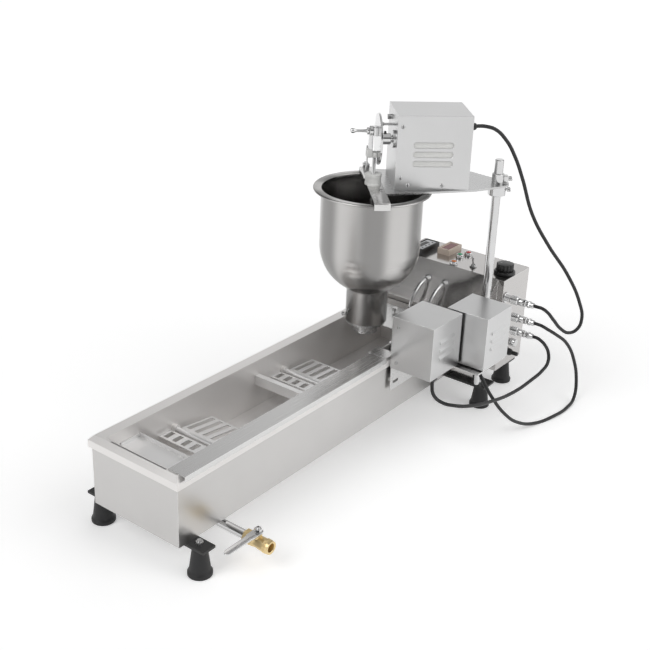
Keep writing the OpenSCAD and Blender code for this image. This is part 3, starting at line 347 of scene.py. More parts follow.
# Round body: a profile of (radius, height) points turned about its own axis
def addTurned(bm, profile, place, steps):
    part = bmesh.new()
    points = [part.verts.new((r * millimetre, 0, z * millimetre)) for r, z in profile]
    edges = [part.edges.new(pair) for pair in zip(points, points[1:])]
    bmesh.ops.spin(part, geom=points + edges, cent=(0, 0, 0), axis=(0, 0, 1), angle=math.tau,
                   steps=steps, use_merge=True)
    bmesh.ops.remove_doubles(part, verts=part.verts, dist=1e-7)
    bmesh.ops.recalc_face_normals(part, faces=part.faces)
    absorb(bm, part, place)


def newBox(low, high):
    part = bmesh.new()
    bmesh.ops.create_cube(part, size=1)
    bmesh.ops.scale(part, vec=high - low, verts=part.verts)
    bmesh.ops.translate(part, vec=(low + high) / 2, verts=part.verts)
    return part


def easeEdges(part, edges, amount, segments=2):
    bmesh.ops.bevel(part, geom=edges, offset=amount * millimetre, segments=segments, profile=0.5,
                    affect="EDGES", material=-1)


def addBlock(bm, low, high, place, edge, segments=2):
    part = newBox(Vector(low) * millimetre, Vector(high) * millimetre)
    if edge:
        easeEdges(part, part.edges[:], edge, segments)
    absorb(bm, part, place)


# Case with a window sunk into its top; its dictionary gives the rim round the window and its depth
def addCase(bm, work, place):
    low, high = Vector(work["low"]) * millimetre, Vector(work["high"]) * millimetre
    rim = work["rim"] * millimetre
    part = newBox(low, high)
    outer = [e for e in part.edges if max(v.co.z for v in e.verts) > high.z - slack]
    upper = [f for f in part.faces if f.normal.z > 0.9]
    bmesh.ops.inset_region(part, faces=upper, thickness=rim)
    sunk = [f for f in part.faces if f.normal.z > 0.9 and f.calc_center_median().z > high.z - slack
            and all(min(v.co.x - low.x, high.x - v.co.x) > rim / 2 for v in f.verts)]
    moved = bmesh.ops.extrude_discrete_faces(part, faces=sunk)["faces"]
    bmesh.ops.translate(part, vec=(0, 0, -work["depth"] * millimetre),
                        verts=list({v for f in moved for v in f.verts}))
    easeEdges(part, [e for e in outer if e.is_valid], work["edge"], 3)
    absorb(bm, part, place)


# Flat part: an outline in the XY plane, raised by its thickness, with eased edges
def addCut(bm, outline, thickness, place, edge):
    part = bmesh.new()
    face = part.faces.new([part.verts.new((x * millimetre, y * millimetre, 0)) for x, y in outline])
    raised = bmesh.ops.extrude_face_region(part, geom=[face])["geom"]
    bmesh.ops.translate(part, vec=(0, 0, thickness * millimetre),
                        verts=[v for v in raised if isinstance(v, bmesh.types.BMVert)])
    bmesh.ops.recalc_face_normals(part, faces=part.faces)
    easeEdges(part, [e for e in part.edges if abs(e.verts[0].co.z - e.verts[1].co.z) < 1e-7], edge)
    absorb(bm, part, place)


# Points along an arc, between two angles in degrees
def arcPoints(radius, start, end, count, centre=(0, 0)):
    steps = [math.radians(start + (end - start) * i / count) for i in range(count + 1)]
    return [(centre[0] + radius * math.cos(a), centre[1] + radius * math.sin(a)) for a in steps]


# Bent sheet: the outline of a strip that follows a path, rounded at its bends
def bentStrip(path, thickness, bend):
    corners = [Vector(p) for p in path]
    line = [corners[0]]
    for before, corner, after in zip(corners, corners[1:], corners[2:]):
        first = corner + (before - corner).normalized() * bend
        last = corner + (after - corner).normalized() * bend
        line += [first * (1 - t) ** 2 + corner * 2 * t * (1 - t) + last * t ** 2 for t in (0, 0.25, 0.5, 0.75, 1)]
    line.append(corners[-1])
    inner = []
    for i, point in enumerate(line):
        run = (line[min(i + 1, len(line) - 1)] - line[max(i - 1, 0)]).normalized()
        inner.append(point + Vector((run.y, -run.x)) * thickness)
    return [tuple(p) for p in line + inner[::-1]]


def finishPiece(name, bm, finish, body, replaced=(), sharp=35):
    mesh = bpy.data.meshes.new(name)
    bm.to_mesh(mesh)
    bm.free()
    mesh.shade_smooth()
    mesh.set_sharp_from_angle(angle=math.radians(sharp))
    piece = bpy.data.objects.new(name, mesh)
    bpy.context.scene.collection.objects.link(piece)
    mesh.materials.append(finishes[finish])
    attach(piece, body)
    if replaced:
        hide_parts(*replaced)
    return piece


# Hopper: spun bowl with a flared mouth, a flat rim and a rolled bead; flare points are (out, down)
hopperWork = {"bowl": 102, "wall": 1.5, "centre": 395, "rim": 118, "bead": 2, "top": 512, "neck": 43, "low": 229,
              "lip": 0.4, "flareOut": [(0, 6), (0.6, 3), (3, 1.5)], "flareIn": [(3, 0), (0.8, 1), (0, 3)],
              "beadArc": (165, 435), "beadSteps": 14, "throat": 3, "throatTurn": 2, "steps": 20, "sides": 128}


def makeHopper(work):
    outer, inner = work["bowl"], work["bowl"] - work["wall"]
    neck, neckIn = work["neck"], work["neck"] - work["wall"]
    mid, top, low, lip = work["centre"], work["top"], work["low"], work["lip"]
    startOut = math.degrees(math.acos(neck / outer))
    startIn = math.degrees(math.acos(neckIn / inner))
    profile = [(neckIn, low + lip), (neck - lip, low), (neck, low + lip)]
    profile += [(neck, mid - outer * math.sin(math.radians(startOut)) - work["throat"])]
    profile += arcPoints(outer, -startOut + work["throatTurn"], 0, work["steps"], (0, mid))
    profile += [(outer + out, top - down) for out, down in work["flareOut"]]
    profile += arcPoints(work["bead"], *work["beadArc"], work["beadSteps"],
                         (work["rim"] - work["bead"], top - work["bead"]))
    profile += [(inner + out, top - down) for out, down in work["flareIn"]]
    profile += arcPoints(inner, 0, -startIn + work["throatTurn"], work["steps"], (0, mid))
    profile += [(neckIn, mid - inner * math.sin(math.radians(startIn)) - work["throat"]), (neckIn, low + lip)]
    bm = bmesh.new()
    addTurned(bm, profile, armFrame, steps=work["sides"])
    finishPiece("hopper_bowl", bm, "spunSteel", "head", ["hopper"], sharp=50)


makeHopper(hopperWork)

# Clamp screw in the hopper's neck, with a flat wing that is thickest in the middle
wingWork = {"screw": [(0, -9), (2.4, -9), (2.7, -8.4), (2.7, 1), (4.5, 1.2), (4.5, 7.4), (4, 8), (0, 8)],
            "place": (-43, 0, 240), "crown": 9, "crownArc": (60, 120), "crownCentre": (0, -6),
            "ends": [(-9, 1.2), (-9, -1.5), (0, -2.4), (9, -1.5), (9, 1.2)], "squeeze": 0.9,
            "thickness": 2.4, "edge": 0.6, "wingPlace": (-50.5, 0, 238.8)}
bm = bmesh.new()
addTurned(bm, wingWork["screw"], at(armFrame, *wingWork["place"], "-x"), steps=32)
wing = arcPoints(wingWork["crown"], *wingWork["crownArc"], 8, wingWork["crownCentre"]) + wingWork["ends"]
addCut(bm, [(y * wingWork["squeeze"], x) for x, y in wing], wingWork["thickness"],
       at(armFrame, *wingWork["wingPlace"]), edge=wingWork["edge"])
finishPiece("mould_wing_screw", bm, "polished", "mould_screw", ["mould_screw"])

# Plunger rod with its piston, the white block at its top, and the white guide on the strap
plungerWork = {"rod": [(0, 243), (20.4, 243), (21, 243.8), (21, 254), (20, 255), (3.7, 256), (3.7, 575.5),
                       (3.2, 576.3), (0, 576.3)],
               "blockLow": (-4.2, -9, 575.5), "blockHigh": (4.1, 9, 584.5), "blockEdge": 0.9,
               "guide": [(3.85, 519.5), (16.5, 519.5), (16.5, 523), (15.6, 523.8), (15.6, 534.5), (16.5, 535.3),
                         (16.5, 540.5), (15.5, 541.5), (5, 541.5), (3.85, 540.6), (3.85, 519.5)]}
bm = bmesh.new()
addTurned(bm, plungerWork["rod"], armFrame, steps=48)
finishPiece("plunger_rod", bm, "polished", "plunger", ["plunger"])
bm = bmesh.new()
addBlock(bm, plungerWork["blockLow"], plungerWork["blockHigh"], armFrame, plungerWork["blockEdge"], segments=3)
finishPiece("plunger_block", bm, "nylon", "plunger", ["clevis"])
bm = bmesh.new()
addTurned(bm, plungerWork["guide"], armFrame, steps=64)
finishPiece("white_guide", bm, "nylon", "head", ["rod_guide"])

# Connecting rod: flat bar with a bored big end, and a white block at the lower end with its bolt
rodWork = {"barLow": (-12, -7, 586), "barHigh": (-4.5, 7, 622), "barEdge": 0.8,
           "bigEnd": [(4.06, -7.5), (9.2, -7.5), (10, -6.7), (10, -0.8), (9.2, 0), (4.06, 0), (4.06, -7.5)],
           "pin": (-4.5, 0, 626.5), "blockLow": (-16, -9, 575), "blockHigh": (-4.5, 9, 590.5), "blockEdge": 1.2,
           "bolt": [(0, -1), (3.6, -1), (3.6, 0.8), (3, 1.4), (0, 1.4)], "boltPlace": (-15, 0, 582.5)}
bm = bmesh.new()
addBlock(bm, rodWork["barLow"], rodWork["barHigh"], armFrame, rodWork["barEdge"], segments=3)
addTurned(bm, rodWork["bigEnd"], at(armFrame, *rodWork["pin"], "x"), steps=48)
finishPiece("connecting_rod", bm, "polished", "con_rod", ["con_rod"])
bm = bmesh.new()
addBlock(bm, rodWork["blockLow"], rodWork["blockHigh"], armFrame, rodWork["blockEdge"], segments=3)
finishPiece("rod_block", bm, "nylon", "con_rod")
bm = bmesh.new()
addTurned(bm, rodWork["bolt"], at(armFrame, *rodWork["boltPlace"], "-x"), steps=hexagon)
finishPiece("rod_block_bolt", bm, "machined", "con_rod")

# Crank: disc with its hub and shaft, the hub's key, and the pin block with its pin and handle
crankWork = {"disc": [(0, 0), (49.4, 0), (50, 0.6), (50, 3.4), (49.4, 4), (14, 4), (12, 4.6), (11, 6), (11, 24.3),
                      (10, 25.3), (6, 25.3), (6, 48), (0, 48)], "discPlace": (4.5, 0, 611),
             "keyScrew": [(0, 0), (2.2, 0), (2.2, 4.4), (1.8, 4.9), (0, 4.9)], "keyPlace": (19, 0, 621.5),
             "keyLow": (16.5, -2.5, 619.8), "keyHigh": (21.5, 2.5, 624.2), "keyEdge": 0.7,
             "blockLow": (-4.2, -9, 618), "blockHigh": (4.5, 9, 635), "blockEdge": 0.8,
             "pin": [(0, 0), (4, 0), (4, 8.4), (0, 8.4)], "pinPlace": (-4.1, 0, 626.5),
             "handle": [(0, 0), (6.2, 0), (7, 0.8), (7, 3.8), (6.2, 4.6), (3.4, 5), (3.1, 6), (2.6, 16), (2.7, 24),
                        (3.4, 27), (4.6, 29.5), (5, 32), (4.4, 34.6), (2.8, 36.4), (0, 37)],
             "handlePlace": (-12.4, 0, 626.5)}
bm = bmesh.new()
addTurned(bm, crankWork["disc"], at(armFrame, *crankWork["discPlace"], "x"), steps=96)
finishPiece("crank_wheel", bm, "polished", "crank", ["crank_disc"])
bm = bmesh.new()
addTurned(bm, crankWork["keyScrew"], at(armFrame, *crankWork["keyPlace"]), steps=24)
addBlock(bm, crankWork["keyLow"], crankWork["keyHigh"], armFrame, crankWork["keyEdge"])
finishPiece("hub_key", bm, "blackPlastic", "crank")
bm = bmesh.new()
addBlock(bm, crankWork["blockLow"], crankWork["blockHigh"], armFrame, crankWork["blockEdge"], segments=3)
addTurned(bm, crankWork["pin"], at(armFrame, *crankWork["pinPlace"], "-x"), steps=32)
addTurned(bm, crankWork["handle"], at(armFrame, *crankWork["handlePlace"], "-x"), steps=40)
finishPiece("hand_crank", bm, "polished", "crank", ["crank_handle"])

# Strap over the rim, bent under the bead at both ends, with its stop block and guide pin
strapWork = {"width": 31, "mid": 3, "thickness": 3, "reach": 122, "hook": 112, "top": 519.5, "low": 503.5,
             "bend": 3.2, "edge": 0.4, "stopLow": (-7, 105, 519.4), "stopHigh": (7, 117, 529.5), "stopEdge": 0.8,
             "bolt": [(0, 0), (4.4, 0), (4.4, 2.4), (3.6, 3.2), (0, 3.2)], "boltPlace": (0, 111, 529.3),
             "guidePin": [(0, 519.4), (5, 519.4), (5, 522), (1.8, 522.4), (1.8, 583.6), (2.5, 584.5), (2.8, 586.5),
                          (2, 588.6), (0, 589.3)], "pinPlace": (-10, 31, 0)}
hook, reach, strapTop, strapLow = [strapWork[key] for key in ("hook", "reach", "top", "low")]
strapPath = [(-hook, strapLow), (-reach, strapLow), (-reach, strapTop), (reach, strapTop), (reach, strapLow),
             (hook, strapLow)]
bm = bmesh.new()
addCut(bm, bentStrip(strapPath, strapWork["thickness"], strapWork["bend"]), strapWork["width"],
       at(armFrame, strapWork["mid"] - strapWork["width"] / 2, 0, 0) @ sideOn, edge=strapWork["edge"])
finishPiece("rim_strap", bm, "foldedSheet", "head", ["hopper_strap"])
bm = bmesh.new()
addBlock(bm, strapWork["stopLow"], strapWork["stopHigh"], armFrame, strapWork["stopEdge"])
addTurned(bm, strapWork["bolt"], at(armFrame, *strapWork["boltPlace"]), steps=hexagon)
addTurned(bm, strapWork["guidePin"], at(armFrame, *strapWork["pinPlace"]), steps=32)
finishPiece("strap_fittings", bm, "polished", "head")

# Motor box: a pale sheet behind its slots, painted light for the light seen through them, and a small knob and a
# hexagon nut on the side of the crank
boxWork = {"sheetLow": (68, -25.6, 558), "sheetHigh": (155, -24.4, 617), "sheetEdge": 0.3,
           "knob": [(0, 0), (4.2, 0), (5, 0.8), (5, 5.4), (4.2, 6.2), (0, 6.4)], "knobPlace": (37.2, 58, 640.5),
           "nut": [(0, 0), (4.9, 0), (4.9, 3.6), (4.2, 4.6), (0, 4.8)], "nutPlace": (38.4, 24, 601)}
bm = bmesh.new()
# Painted light: the pale sheet stands in for the light seen through the slots
addBlock(bm, boxWork["sheetLow"], boxWork["sheetHigh"], armFrame, boxWork["sheetEdge"], segments=1)
finishPiece("slot_light_sheet", bm, "nylon", "head")
bm = bmesh.new()
addTurned(bm, boxWork["knob"], at(armFrame, *boxWork["knobPlace"], "-x"), steps=32)
addTurned(bm, boxWork["nut"], at(armFrame, *boxWork["nutPlace"], "-x"), steps=hexagon)
finishPiece("box_knob", bm, "blackPlastic", "head")

# Pan-head screws with a cross recess: two along the box's foot, two up its edge, two on the strap; the recess is
# painted shade, a black cross set into each head
screwWork = {"radius": 4, "height": 2.1, "shank": 1.9, "depth": 1.5,
             "pan": [(1, 0), (1, 0.35), (0.8, 0.8), (0.45, 1)],  # shares of the radius and the height
             "cross": 0.45, "crossReach": 0.5, "crossLow": 0.15, "crossHigh": 0.05, "face": -27.4,
             "boxStart": 38.8, "boxLength": 147, "alongBox": (0.175, 0.637), "plateTop": 516.5, "foot": 9,
             "edgeX": 49, "upBox": (23.5, 125.3), "strapX": 11, "acrossStrap": (-40, 40)}


def addScrew(bm, place, look=screwWork):
    radius, height, shank, depth = [look[key] for key in ("radius", "height", "shank", "depth")]
    pan = [(radius * across, height * up) for across, up in look["pan"]]
    addTurned(bm, [(0, -depth), (shank, -depth), (shank, 0)] + pan + [(0, height)], place, steps=24)


# Painted shade: a black cross block stands for the shade inside the screw's cross recess
def addRecessShade(bm, place, look=screwWork):
    reach, arm = look["radius"] * look["crossReach"], look["cross"]
    low, high = look["height"] - look["crossLow"], look["height"] + look["crossHigh"]
    addBlock(bm, (-reach, -arm, low), (reach, arm, high), place, edge=0)
    addBlock(bm, (-arm, -reach, low), (arm, reach, high), place, edge=0)


headScrews = [at(armFrame, screwWork["boxStart"] + screwWork["boxLength"] * share, screwWork["face"],
                 screwWork["plateTop"] + screwWork["foot"], "-y") for share in screwWork["alongBox"]]
headScrews += [at(armFrame, screwWork["edgeX"], screwWork["face"], screwWork["plateTop"] + up, "-y")
               for up in screwWork["upBox"]]
headScrews += [at(armFrame, screwWork["strapX"], y, strapWork["top"]) for y in screwWork["acrossStrap"]]
bm = bmesh.new()
for place in headScrews:
    addScrew(bm, place)
finishPiece("head_screw_set", bm, "machined", "head", ["head_screws"])
# Painted shade in the cross recesses, in black
bm = bmesh.new()
for place in headScrews:
    addRecessShade(bm, place)
finishPiece("head_screw_recess_shade", bm, "blackPlastic", "head")

# Gland of the box's cable: hexagon body and domed nut
boxGlandWork = {"place": (185.8, 0, 637), "body": [(0, -6), (4.8, -6), (4.8, 0), (8, 0), (8, 4.4), (7.4, 5), (0, 5)],
                "nut": [(3.8, 5), (6.9, 5), (7.1, 6), (7.1, 8.5), (6, 11), (4.6, 12), (3.8, 12), (3.8, 5)]}
boxGlandPlace = at(armFrame, *boxGlandWork["place"], "x")
bm = bmesh.new()
addTurned(bm, boxGlandWork["body"], boxGlandPlace, steps=hexagon)
addTurned(bm, boxGlandWork["nut"], boxGlandPlace, steps=40)
finishPiece("head_gland_nut", bm, "blackPlastic", "head", ["head_gland"])

# Post with its collar and the arm's sleeve; the sleeve has a boss for its clamp screw
postWork = {"place": (256.6, 22.1, 0),
            "post": [(0, 60), (9.25, 60), (9.25, 563.8), (8, 565), (0, 565)],
            "collar": [(9.32, 492), (17.4, 492), (18.2, 492.8), (18.2, 511.9), (17.4, 512.7), (9.32, 512.7),
                       (9.32, 492)],
            "sleeve": [(9.32, 516.5), (12.2, 516.5), (12.2, 535.7), (11.4, 536.5), (9.32, 536.5), (9.32, 516.5)],
            "bossLow": (10.6, -8, 518.5), "bossHigh": (20, 8, 532.5), "bossEdge": 0.9}
postPlace = at(armFrame, *postWork["place"])
bm = bmesh.new()
addTurned(bm, postWork["post"], postPlace, steps=48)
finishPiece("polished_post", bm, "polished", "base", ["post"])
bm = bmesh.new()
addTurned(bm, postWork["collar"], postPlace, steps=56)
finishPiece("post_collar", bm, "polished", "collar", ["stop_collar"])
bm = bmesh.new()
addTurned(bm, postWork["sleeve"], postPlace, steps=56)
addBlock(bm, postWork["bossLow"], postWork["bossHigh"], postPlace, postWork["bossEdge"], segments=3)
finishPiece("swing_sleeve", bm, "polished", "head", ["head_sleeve"])

# Clamp screws: shank, round collar and a cross bar with domed ends
teeWork = {"start": 9.75, "shank": 3, "collar": [(3, 0), (4.4, 0.2), (5, 0.9), (5, 5.2), (4.2, 6), (0, 6)],
           "bar": [(0, -11), (1.3, -10.8), (2, -10), (2, 10), (1.3, 10.8), (0, 11)], "barAt": 4,
           "screws": {"sleeve_clamp": (22, 525.5, "sleeve_screw"), "collar_clamp": (21, 502.5, "collar_screw")}}


def makeTeeScrew(name, end, z, node, work=teeWork):
    postX, postY = postWork["place"][:2]
    length = end - work["start"]
    profile = [(0, 0), (work["shank"], 0)] + [(r, length + up) for r, up in work["collar"]]
    bm = bmesh.new()
    addTurned(bm, profile, at(armFrame, postX + work["start"], postY, z, "x"), steps=32)
    addTurned(bm, work["bar"], at(armFrame, postX + end + work["barAt"], postY, z, "y"), steps=24)
    finishPiece(name, bm, "polished", node, [node])  # the body has the node's name


for name, screw in teeWork["screws"].items():
    makeTeeScrew(name, *screw)
print("dough head done")

# Black dial knob with flutes, a skirt with tick marks and a white pointer
panelZ = 277
knobWork = {"place": (967, -151, panelZ), "gripZ": 284.6, "grip": 18.4, "gripHeight": 15.4, "gripEdge": 1.1,
            "flutes": 14, "fluteDepth": 0.9, "points": 168, "ticks": 11, "firstTick": -135, "tickStep": 27,
            "skirt": [(0, -10), (3, -10), (3, 0.5), (22.6, 0.5), (23.5, 1.3), (23.5, 5.2), (21.8, 7.4), (19.4, 7.8),
                      (0, 7.8)],
            "pointerLow": (-0.6, 8, 22.9), "pointerHigh": (0.6, 17, 23.08),
            "tickLow": (-0.35, 20.2, 7.2), "tickHigh": (0.35, 22.2, 7.45)}
knobX, knobY = knobWork["place"][:2]
knobPlace = at(troughFrame, *knobWork["place"])
bm = bmesh.new()
addTurned(bm, knobWork["skirt"], knobPlace, steps=72)
angles = [math.tau * i / knobWork["points"] for i in range(knobWork["points"])]
radii = [knobWork["grip"] + knobWork["fluteDepth"] * math.cos(knobWork["flutes"] * a) for a in angles]
addCut(bm, [(r * math.cos(a), r * math.sin(a)) for r, a in zip(radii, angles)], knobWork["gripHeight"],
       at(troughFrame, knobX, knobY, knobWork["gripZ"]), edge=knobWork["gripEdge"])
finishPiece("dial_knob", bm, "blackPlastic", "knob", ["knob"])
bm = bmesh.new()
addBlock(bm, knobWork["pointerLow"], knobWork["pointerHigh"], knobPlace, edge=0)
for i in range(knobWork["ticks"]):
    turn = Matrix.Rotation(math.radians(knobWork["firstTick"] + knobWork["tickStep"] * i), 4, "Z")
    addBlock(bm, knobWork["tickLow"], knobWork["tickHigh"], knobPlace @ turn, edge=0)
finishPiece("knob_marks", bm, "nylon", "knob")

# Lamps: chromed bezels with domed lenses, and the switch's bush with its nut and lever
lampWork = {"places": {"orangeLens": (937, -39), "greenLens": (984, -26), "redLens": (1008, -34)},
            "bezel": [(6.05, 0), (9.4, 0), (9.4, 1.6), (8.7, 2.2), (8.6, 6), (7.9, 7), (6.6, 7.3), (6.05, 6.6),
                      (6.05, 0)],
            "body": [(0, -8), (5.9, -8), (5.9, 0.5), (0, 0.5)],
            "lens": 6, "lensLow": 0.5, "lensHigh": 6.6, "dome": 2.2, "domeAngles": (0.3, 0.6, 0.9, 1.2)}
toggleWork = {"place": (951, -81), "pivotZ": 279, "tilt": -12,
              "bush": [(4.5, -8), (5.1, -8), (5.1, 5.6), (4.7, 6), (4.5, 6), (4.5, -8)],
              "nut": [(5.1, 0), (7.4, 0), (8, 0.5), (8, 2.5), (7.4, 3), (5.1, 3), (5.1, 0)],
              "lever": [(0, -4.2), (2.4, -3.5), (3.8, -1.8), (4.2, 0), (3.6, 2.2), (2.2, 3.4), (1.7, 5), (2.1, 14),
                        (2.5, 20), (2.6, 22.6), (2, 24.2), (0, 24.7)],
              "pin": [(0, -6), (1.5, -6), (1.5, 6), (0, 6)]}
bm = bmesh.new()
for x, y in lampWork["places"].values():
    addTurned(bm, lampWork["bezel"], at(troughFrame, x, y, panelZ), steps=48)
    addTurned(bm, lampWork["body"], at(troughFrame, x, y, panelZ), steps=32)
togglePlace = at(troughFrame, *toggleWork["place"], panelZ)
addTurned(bm, toggleWork["bush"], togglePlace, steps=32)
addTurned(bm, toggleWork["nut"], togglePlace, steps=hexagon)
finishPiece("lamp_bezels", bm, "polished", "base", ["lamps"])
radius, low, high, rise = [lampWork[key] for key in ("lens", "lensLow", "lensHigh", "dome")]
lens = [(0, low), (radius, low), (radius, high)]
lens += [(radius * math.cos(a), high + rise * math.sin(a)) for a in lampWork["domeAngles"]] + [(0, high + rise)]
for finish, (x, y) in lampWork["places"].items():
    bm = bmesh.new()
    addTurned(bm, lens, at(troughFrame, x, y, panelZ), steps=40)
    finishPiece(finish.replace("Lens", "_lens"), bm, finish, "base")
bm = bmesh.new()
tilt = Matrix.Rotation(math.radians(toggleWork["tilt"]), 4, "Y")
addTurned(bm, toggleWork["lever"], at(troughFrame, *toggleWork["place"], toggleWork["pivotZ"]) @ tilt, steps=32)
addTurned(bm, toggleWork["pin"], at(troughFrame, *toggleWork["place"], toggleWork["pivotZ"], "y"), steps=16)
finishPiece("toggle_lever", bm, "polished", "toggle", ["toggle"])

# Display: pale case with a dark red window
displayWork = {"low": (970.04, -6, panelZ), "high": (1025.04, 26, 291), "edge": 1.4, "rim": 6, "depth": 1.6,
               "windowLow": (977, 1, 289), "windowHigh": (1018, 19, 289.9), "windowEdge": 0.3}
bm = bmesh.new()
addCase(bm, displayWork, troughFrame)
finishPiece("display_case", bm, "palePlastic", "base", ["panel_displays"])
bm = bmesh.new()
addBlock(bm, displayWork["windowLow"], displayWork["windowHigh"], troughFrame, displayWork["windowEdge"], segments=1)
finishPiece("display_window", bm, "redWindow", "base")

# Timer: grey face in a black frame, with a dark screen and four keys
timerWork = {"low": (934.7, 43, panelZ), "high": (1006.7, 79, 290), "edge": 1.4, "rim": 5, "depth": 1.4,
             "faceLow": (940.2, 48.4, 288.2), "faceHigh": (1001.2, 73.6, 289), "faceEdge": 0.3,
             "screenLow": (952, 59, 288.8), "screenHigh": (989, 70, 289.4),
             "keys": 4, "keyStep": 14, "firstKey": (950, 53.5, 288.9),
             "key": [(0, 0), (2.2, 0), (2.2, 0.5), (1.6, 0.9), (0, 0.9)]}
bm = bmesh.new()
addCase(bm, timerWork, troughFrame)
finishPiece("timer_case", bm, "blackPlastic", "base")
bm = bmesh.new()
addBlock(bm, timerWork["faceLow"], timerWork["faceHigh"], troughFrame, timerWork["faceEdge"], segments=1)
finishPiece("timer_face", bm, "greyFace", "base")
bm = bmesh.new()
addBlock(bm, timerWork["screenLow"], timerWork["screenHigh"], troughFrame, timerWork["faceEdge"], segments=1)
keyX, keyY, keyZ = timerWork["firstKey"]
for i in range(timerWork["keys"]):
    addTurned(bm, timerWork["key"], at(troughFrame, keyX + timerWork["keyStep"] * i, keyY, keyZ), steps=20)
finishPiece("timer_keys", bm, "blackPlastic", "base")

# Sockets with threaded collars, the last one capped, and the plugs with knurled rings and clamp nuts
socketWork = {"places": [(938, 235), (950, 190), (952, 157), (954, 128)], "wall": -175,
              "turns": 11, "thread": 0.5, "threadRadius": 8, "threadStart": 3,
              "body": [(0, -12), (8, -12), (8, 0), (11.3, 0), (12, 0.7), (12, 1.9), (11.3, 2.5), (8, 2.5)],
              "mouth": [(7, 14), (0, 14)],
              "cap": [(0, 14.3), (8.4, 14.3), (9, 15), (9, 27.6), (8.2, 29), (0, 29)]}
plugWork = {"ring": [(0, 14.3), (9, 14.3)], "ribs": 16, "ribBase": 9.4, "ribHeight": 0.6, "ribStart": 15.2,
            "shell": [(8, 32.3), (8, 44), (7.4, 45), (8, 46), (8, 50.3), (6.5, 51.5), (6.5, 68), (5.6, 70), (0, 70)],
            "nut": [(6.4, 55), (7.6, 55), (7.9, 55.6), (7.9, 60.4), (7.6, 61), (6.4, 61), (6.4, 55)]}
socketPlaces = [at(troughFrame, x, socketWork["wall"], z, "-y") for x, z in socketWork["places"]]
thread = [(socketWork["threadRadius"] - socketWork["thread"] * (i % 2), socketWork["threadStart"] + i)
          for i in range(socketWork["turns"])]
bm = bmesh.new()
for place in socketPlaces:
    addTurned(bm, socketWork["body"] + thread + socketWork["mouth"], place, steps=48)
addTurned(bm, socketWork["cap"], socketPlaces[-1], steps=48)
finishPiece("socket_row", bm, "polished", "base", ["sockets"])
ribs = [(plugWork["ribBase"] + plugWork["ribHeight"] * (i % 2), plugWork["ribStart"] + i)
        for i in range(plugWork["ribs"])]
bm = bmesh.new()
for place in socketPlaces[:-1]:
    addTurned(bm, plugWork["ring"] + ribs + plugWork["shell"], place, steps=48)
    addTurned(bm, plugWork["nut"], place, steps=hexagon)
cablePlugs = finishPiece("cable_plugs", bm, "polished", "base", ["plugs"])


# The three cables follow the frame's own routes
cableWork = {
    "cable_1": {"with": [cablePlugs], "route": [
        (792.3, -146.7, 637), (798.2, -150.5, 637), (804.3, -155.8, 636.6), (811, -162.7, 635), (820, -172, 631),
        (846, -186, 606), (868, -197, 571), (888, -208, 525), (912, -228, 445), (945, -256, 376), (985, -291, 305),
        (1012, -314, 240), (1020, -321, 200), (1014, -316, 176), (998, -306, 170), (977, -295, 183),
        (957, -284, 208), (942, -273, 229), (938, -262, 235), (938, -254, 235), (938, -245.3, 235)]},
    "cable_2": {"route": [
        (950, -245.3, 190), (950, -253, 190), (951, -261, 189), (960, -271, 181), (980, -284, 165),
        (1010, -298, 138), (1034, -311, 90), (1036, -322, 42), (1017, -330, 12), (975, -334, 4), (925, -330, 4),
        (868, -314, 4), (815, -298, 22), (775, -284, 55), (754, -264, 92), (752, -241, 122), (758, -225, 138),
        (760, -220, 150), (760, -220, 159.7)]},
    "cable_3": {"route": [
        (952, -245.3, 157), (952, -253, 157), (954, -262, 153), (959, -273, 141), (961, -281, 124),
        (952, -286, 108), (928, -286, 97), (890, -283, 90), (820, -278, 86), (730, -272, 98), (665, -263, 112),
        (632, -247, 120), (616, -222, 126), (617, -203, 135), (621.5, -195.5, 149), (622, -195, 161.7)]},
}
cableLook = {"radius": 3.7, "bevel": 5, "steps": 10}


def makeCable(name, work, look):
    curve = bpy.data.curves.new(name + "_flex", "CURVE")
    curve.dimensions = "3D"
    curve.bevel_depth = look["radius"] * millimetre
    curve.bevel_resolution = look["bevel"]
    curve.resolution_u = look["steps"]
    curve.use_fill_caps = True
    spline = curve.splines.new("BEZIER")
    spline.bezier_points.add(len(work["route"]) - 1)
    for point, place in zip(spline.bezier_points, work["route"]):
        point.co = spot(*place)
        point.handle_left_type = point.handle_right_type = "AUTO"
    flex = bpy.data.objects.new(name + "_flex", curve)
    bpy.context.scene.collection.objects.link(flex)
    curve.materials.append(finishes["cordRubber"])
    bpy.context.view_layer.update()
    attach(flex, "base")
    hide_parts(name)
    return flex


for cableName, work in cableWork.items():
    makeCable(cableName, work, cableLook)
print("cables laid")

# Glands of the control head's own lead and of the two cables under the drive boxes
glandWork = {"lead": [(0, -8), (8, -8), (8, 0), (11, 0), (11, 5), (10.2, 6), (8, 6), (8, 14), (7.2, 17), (5, 20),
                      (4.5, 20.4), (4.5, 33), (4, 34), (0, 34)], "leadPlace": (958, -175, 100),
             "outer": [(0, 160), (4.6, 160), (6, 162), (6, 180), (0, 180)], "outerPlace": (760, -220, 0),
             "inner": [(0, 162), (5, 162), (6, 163.4), (6, 180), (0, 180)], "innerPlace": (622, -195, 0),
             "nut": [(6, 165), (8.4, 165), (9, 165.6), (9, 171.4), (8.4, 172), (6, 172), (6, 165)]}
bm = bmesh.new()
addTurned(bm, glandWork["lead"], at(troughFrame, *glandWork["leadPlace"], "-y"), steps=48)
addTurned(bm, glandWork["outer"], at(troughFrame, *glandWork["outerPlace"]), steps=40)
addTurned(bm, glandWork["inner"], at(troughFrame, *glandWork["innerPlace"]), steps=40)
addTurned(bm, glandWork["nut"], at(troughFrame, *glandWork["innerPlace"]), steps=hexagon)
finishPiece("gland_set", bm, "blackPlastic", "base", ["cord_glands"])

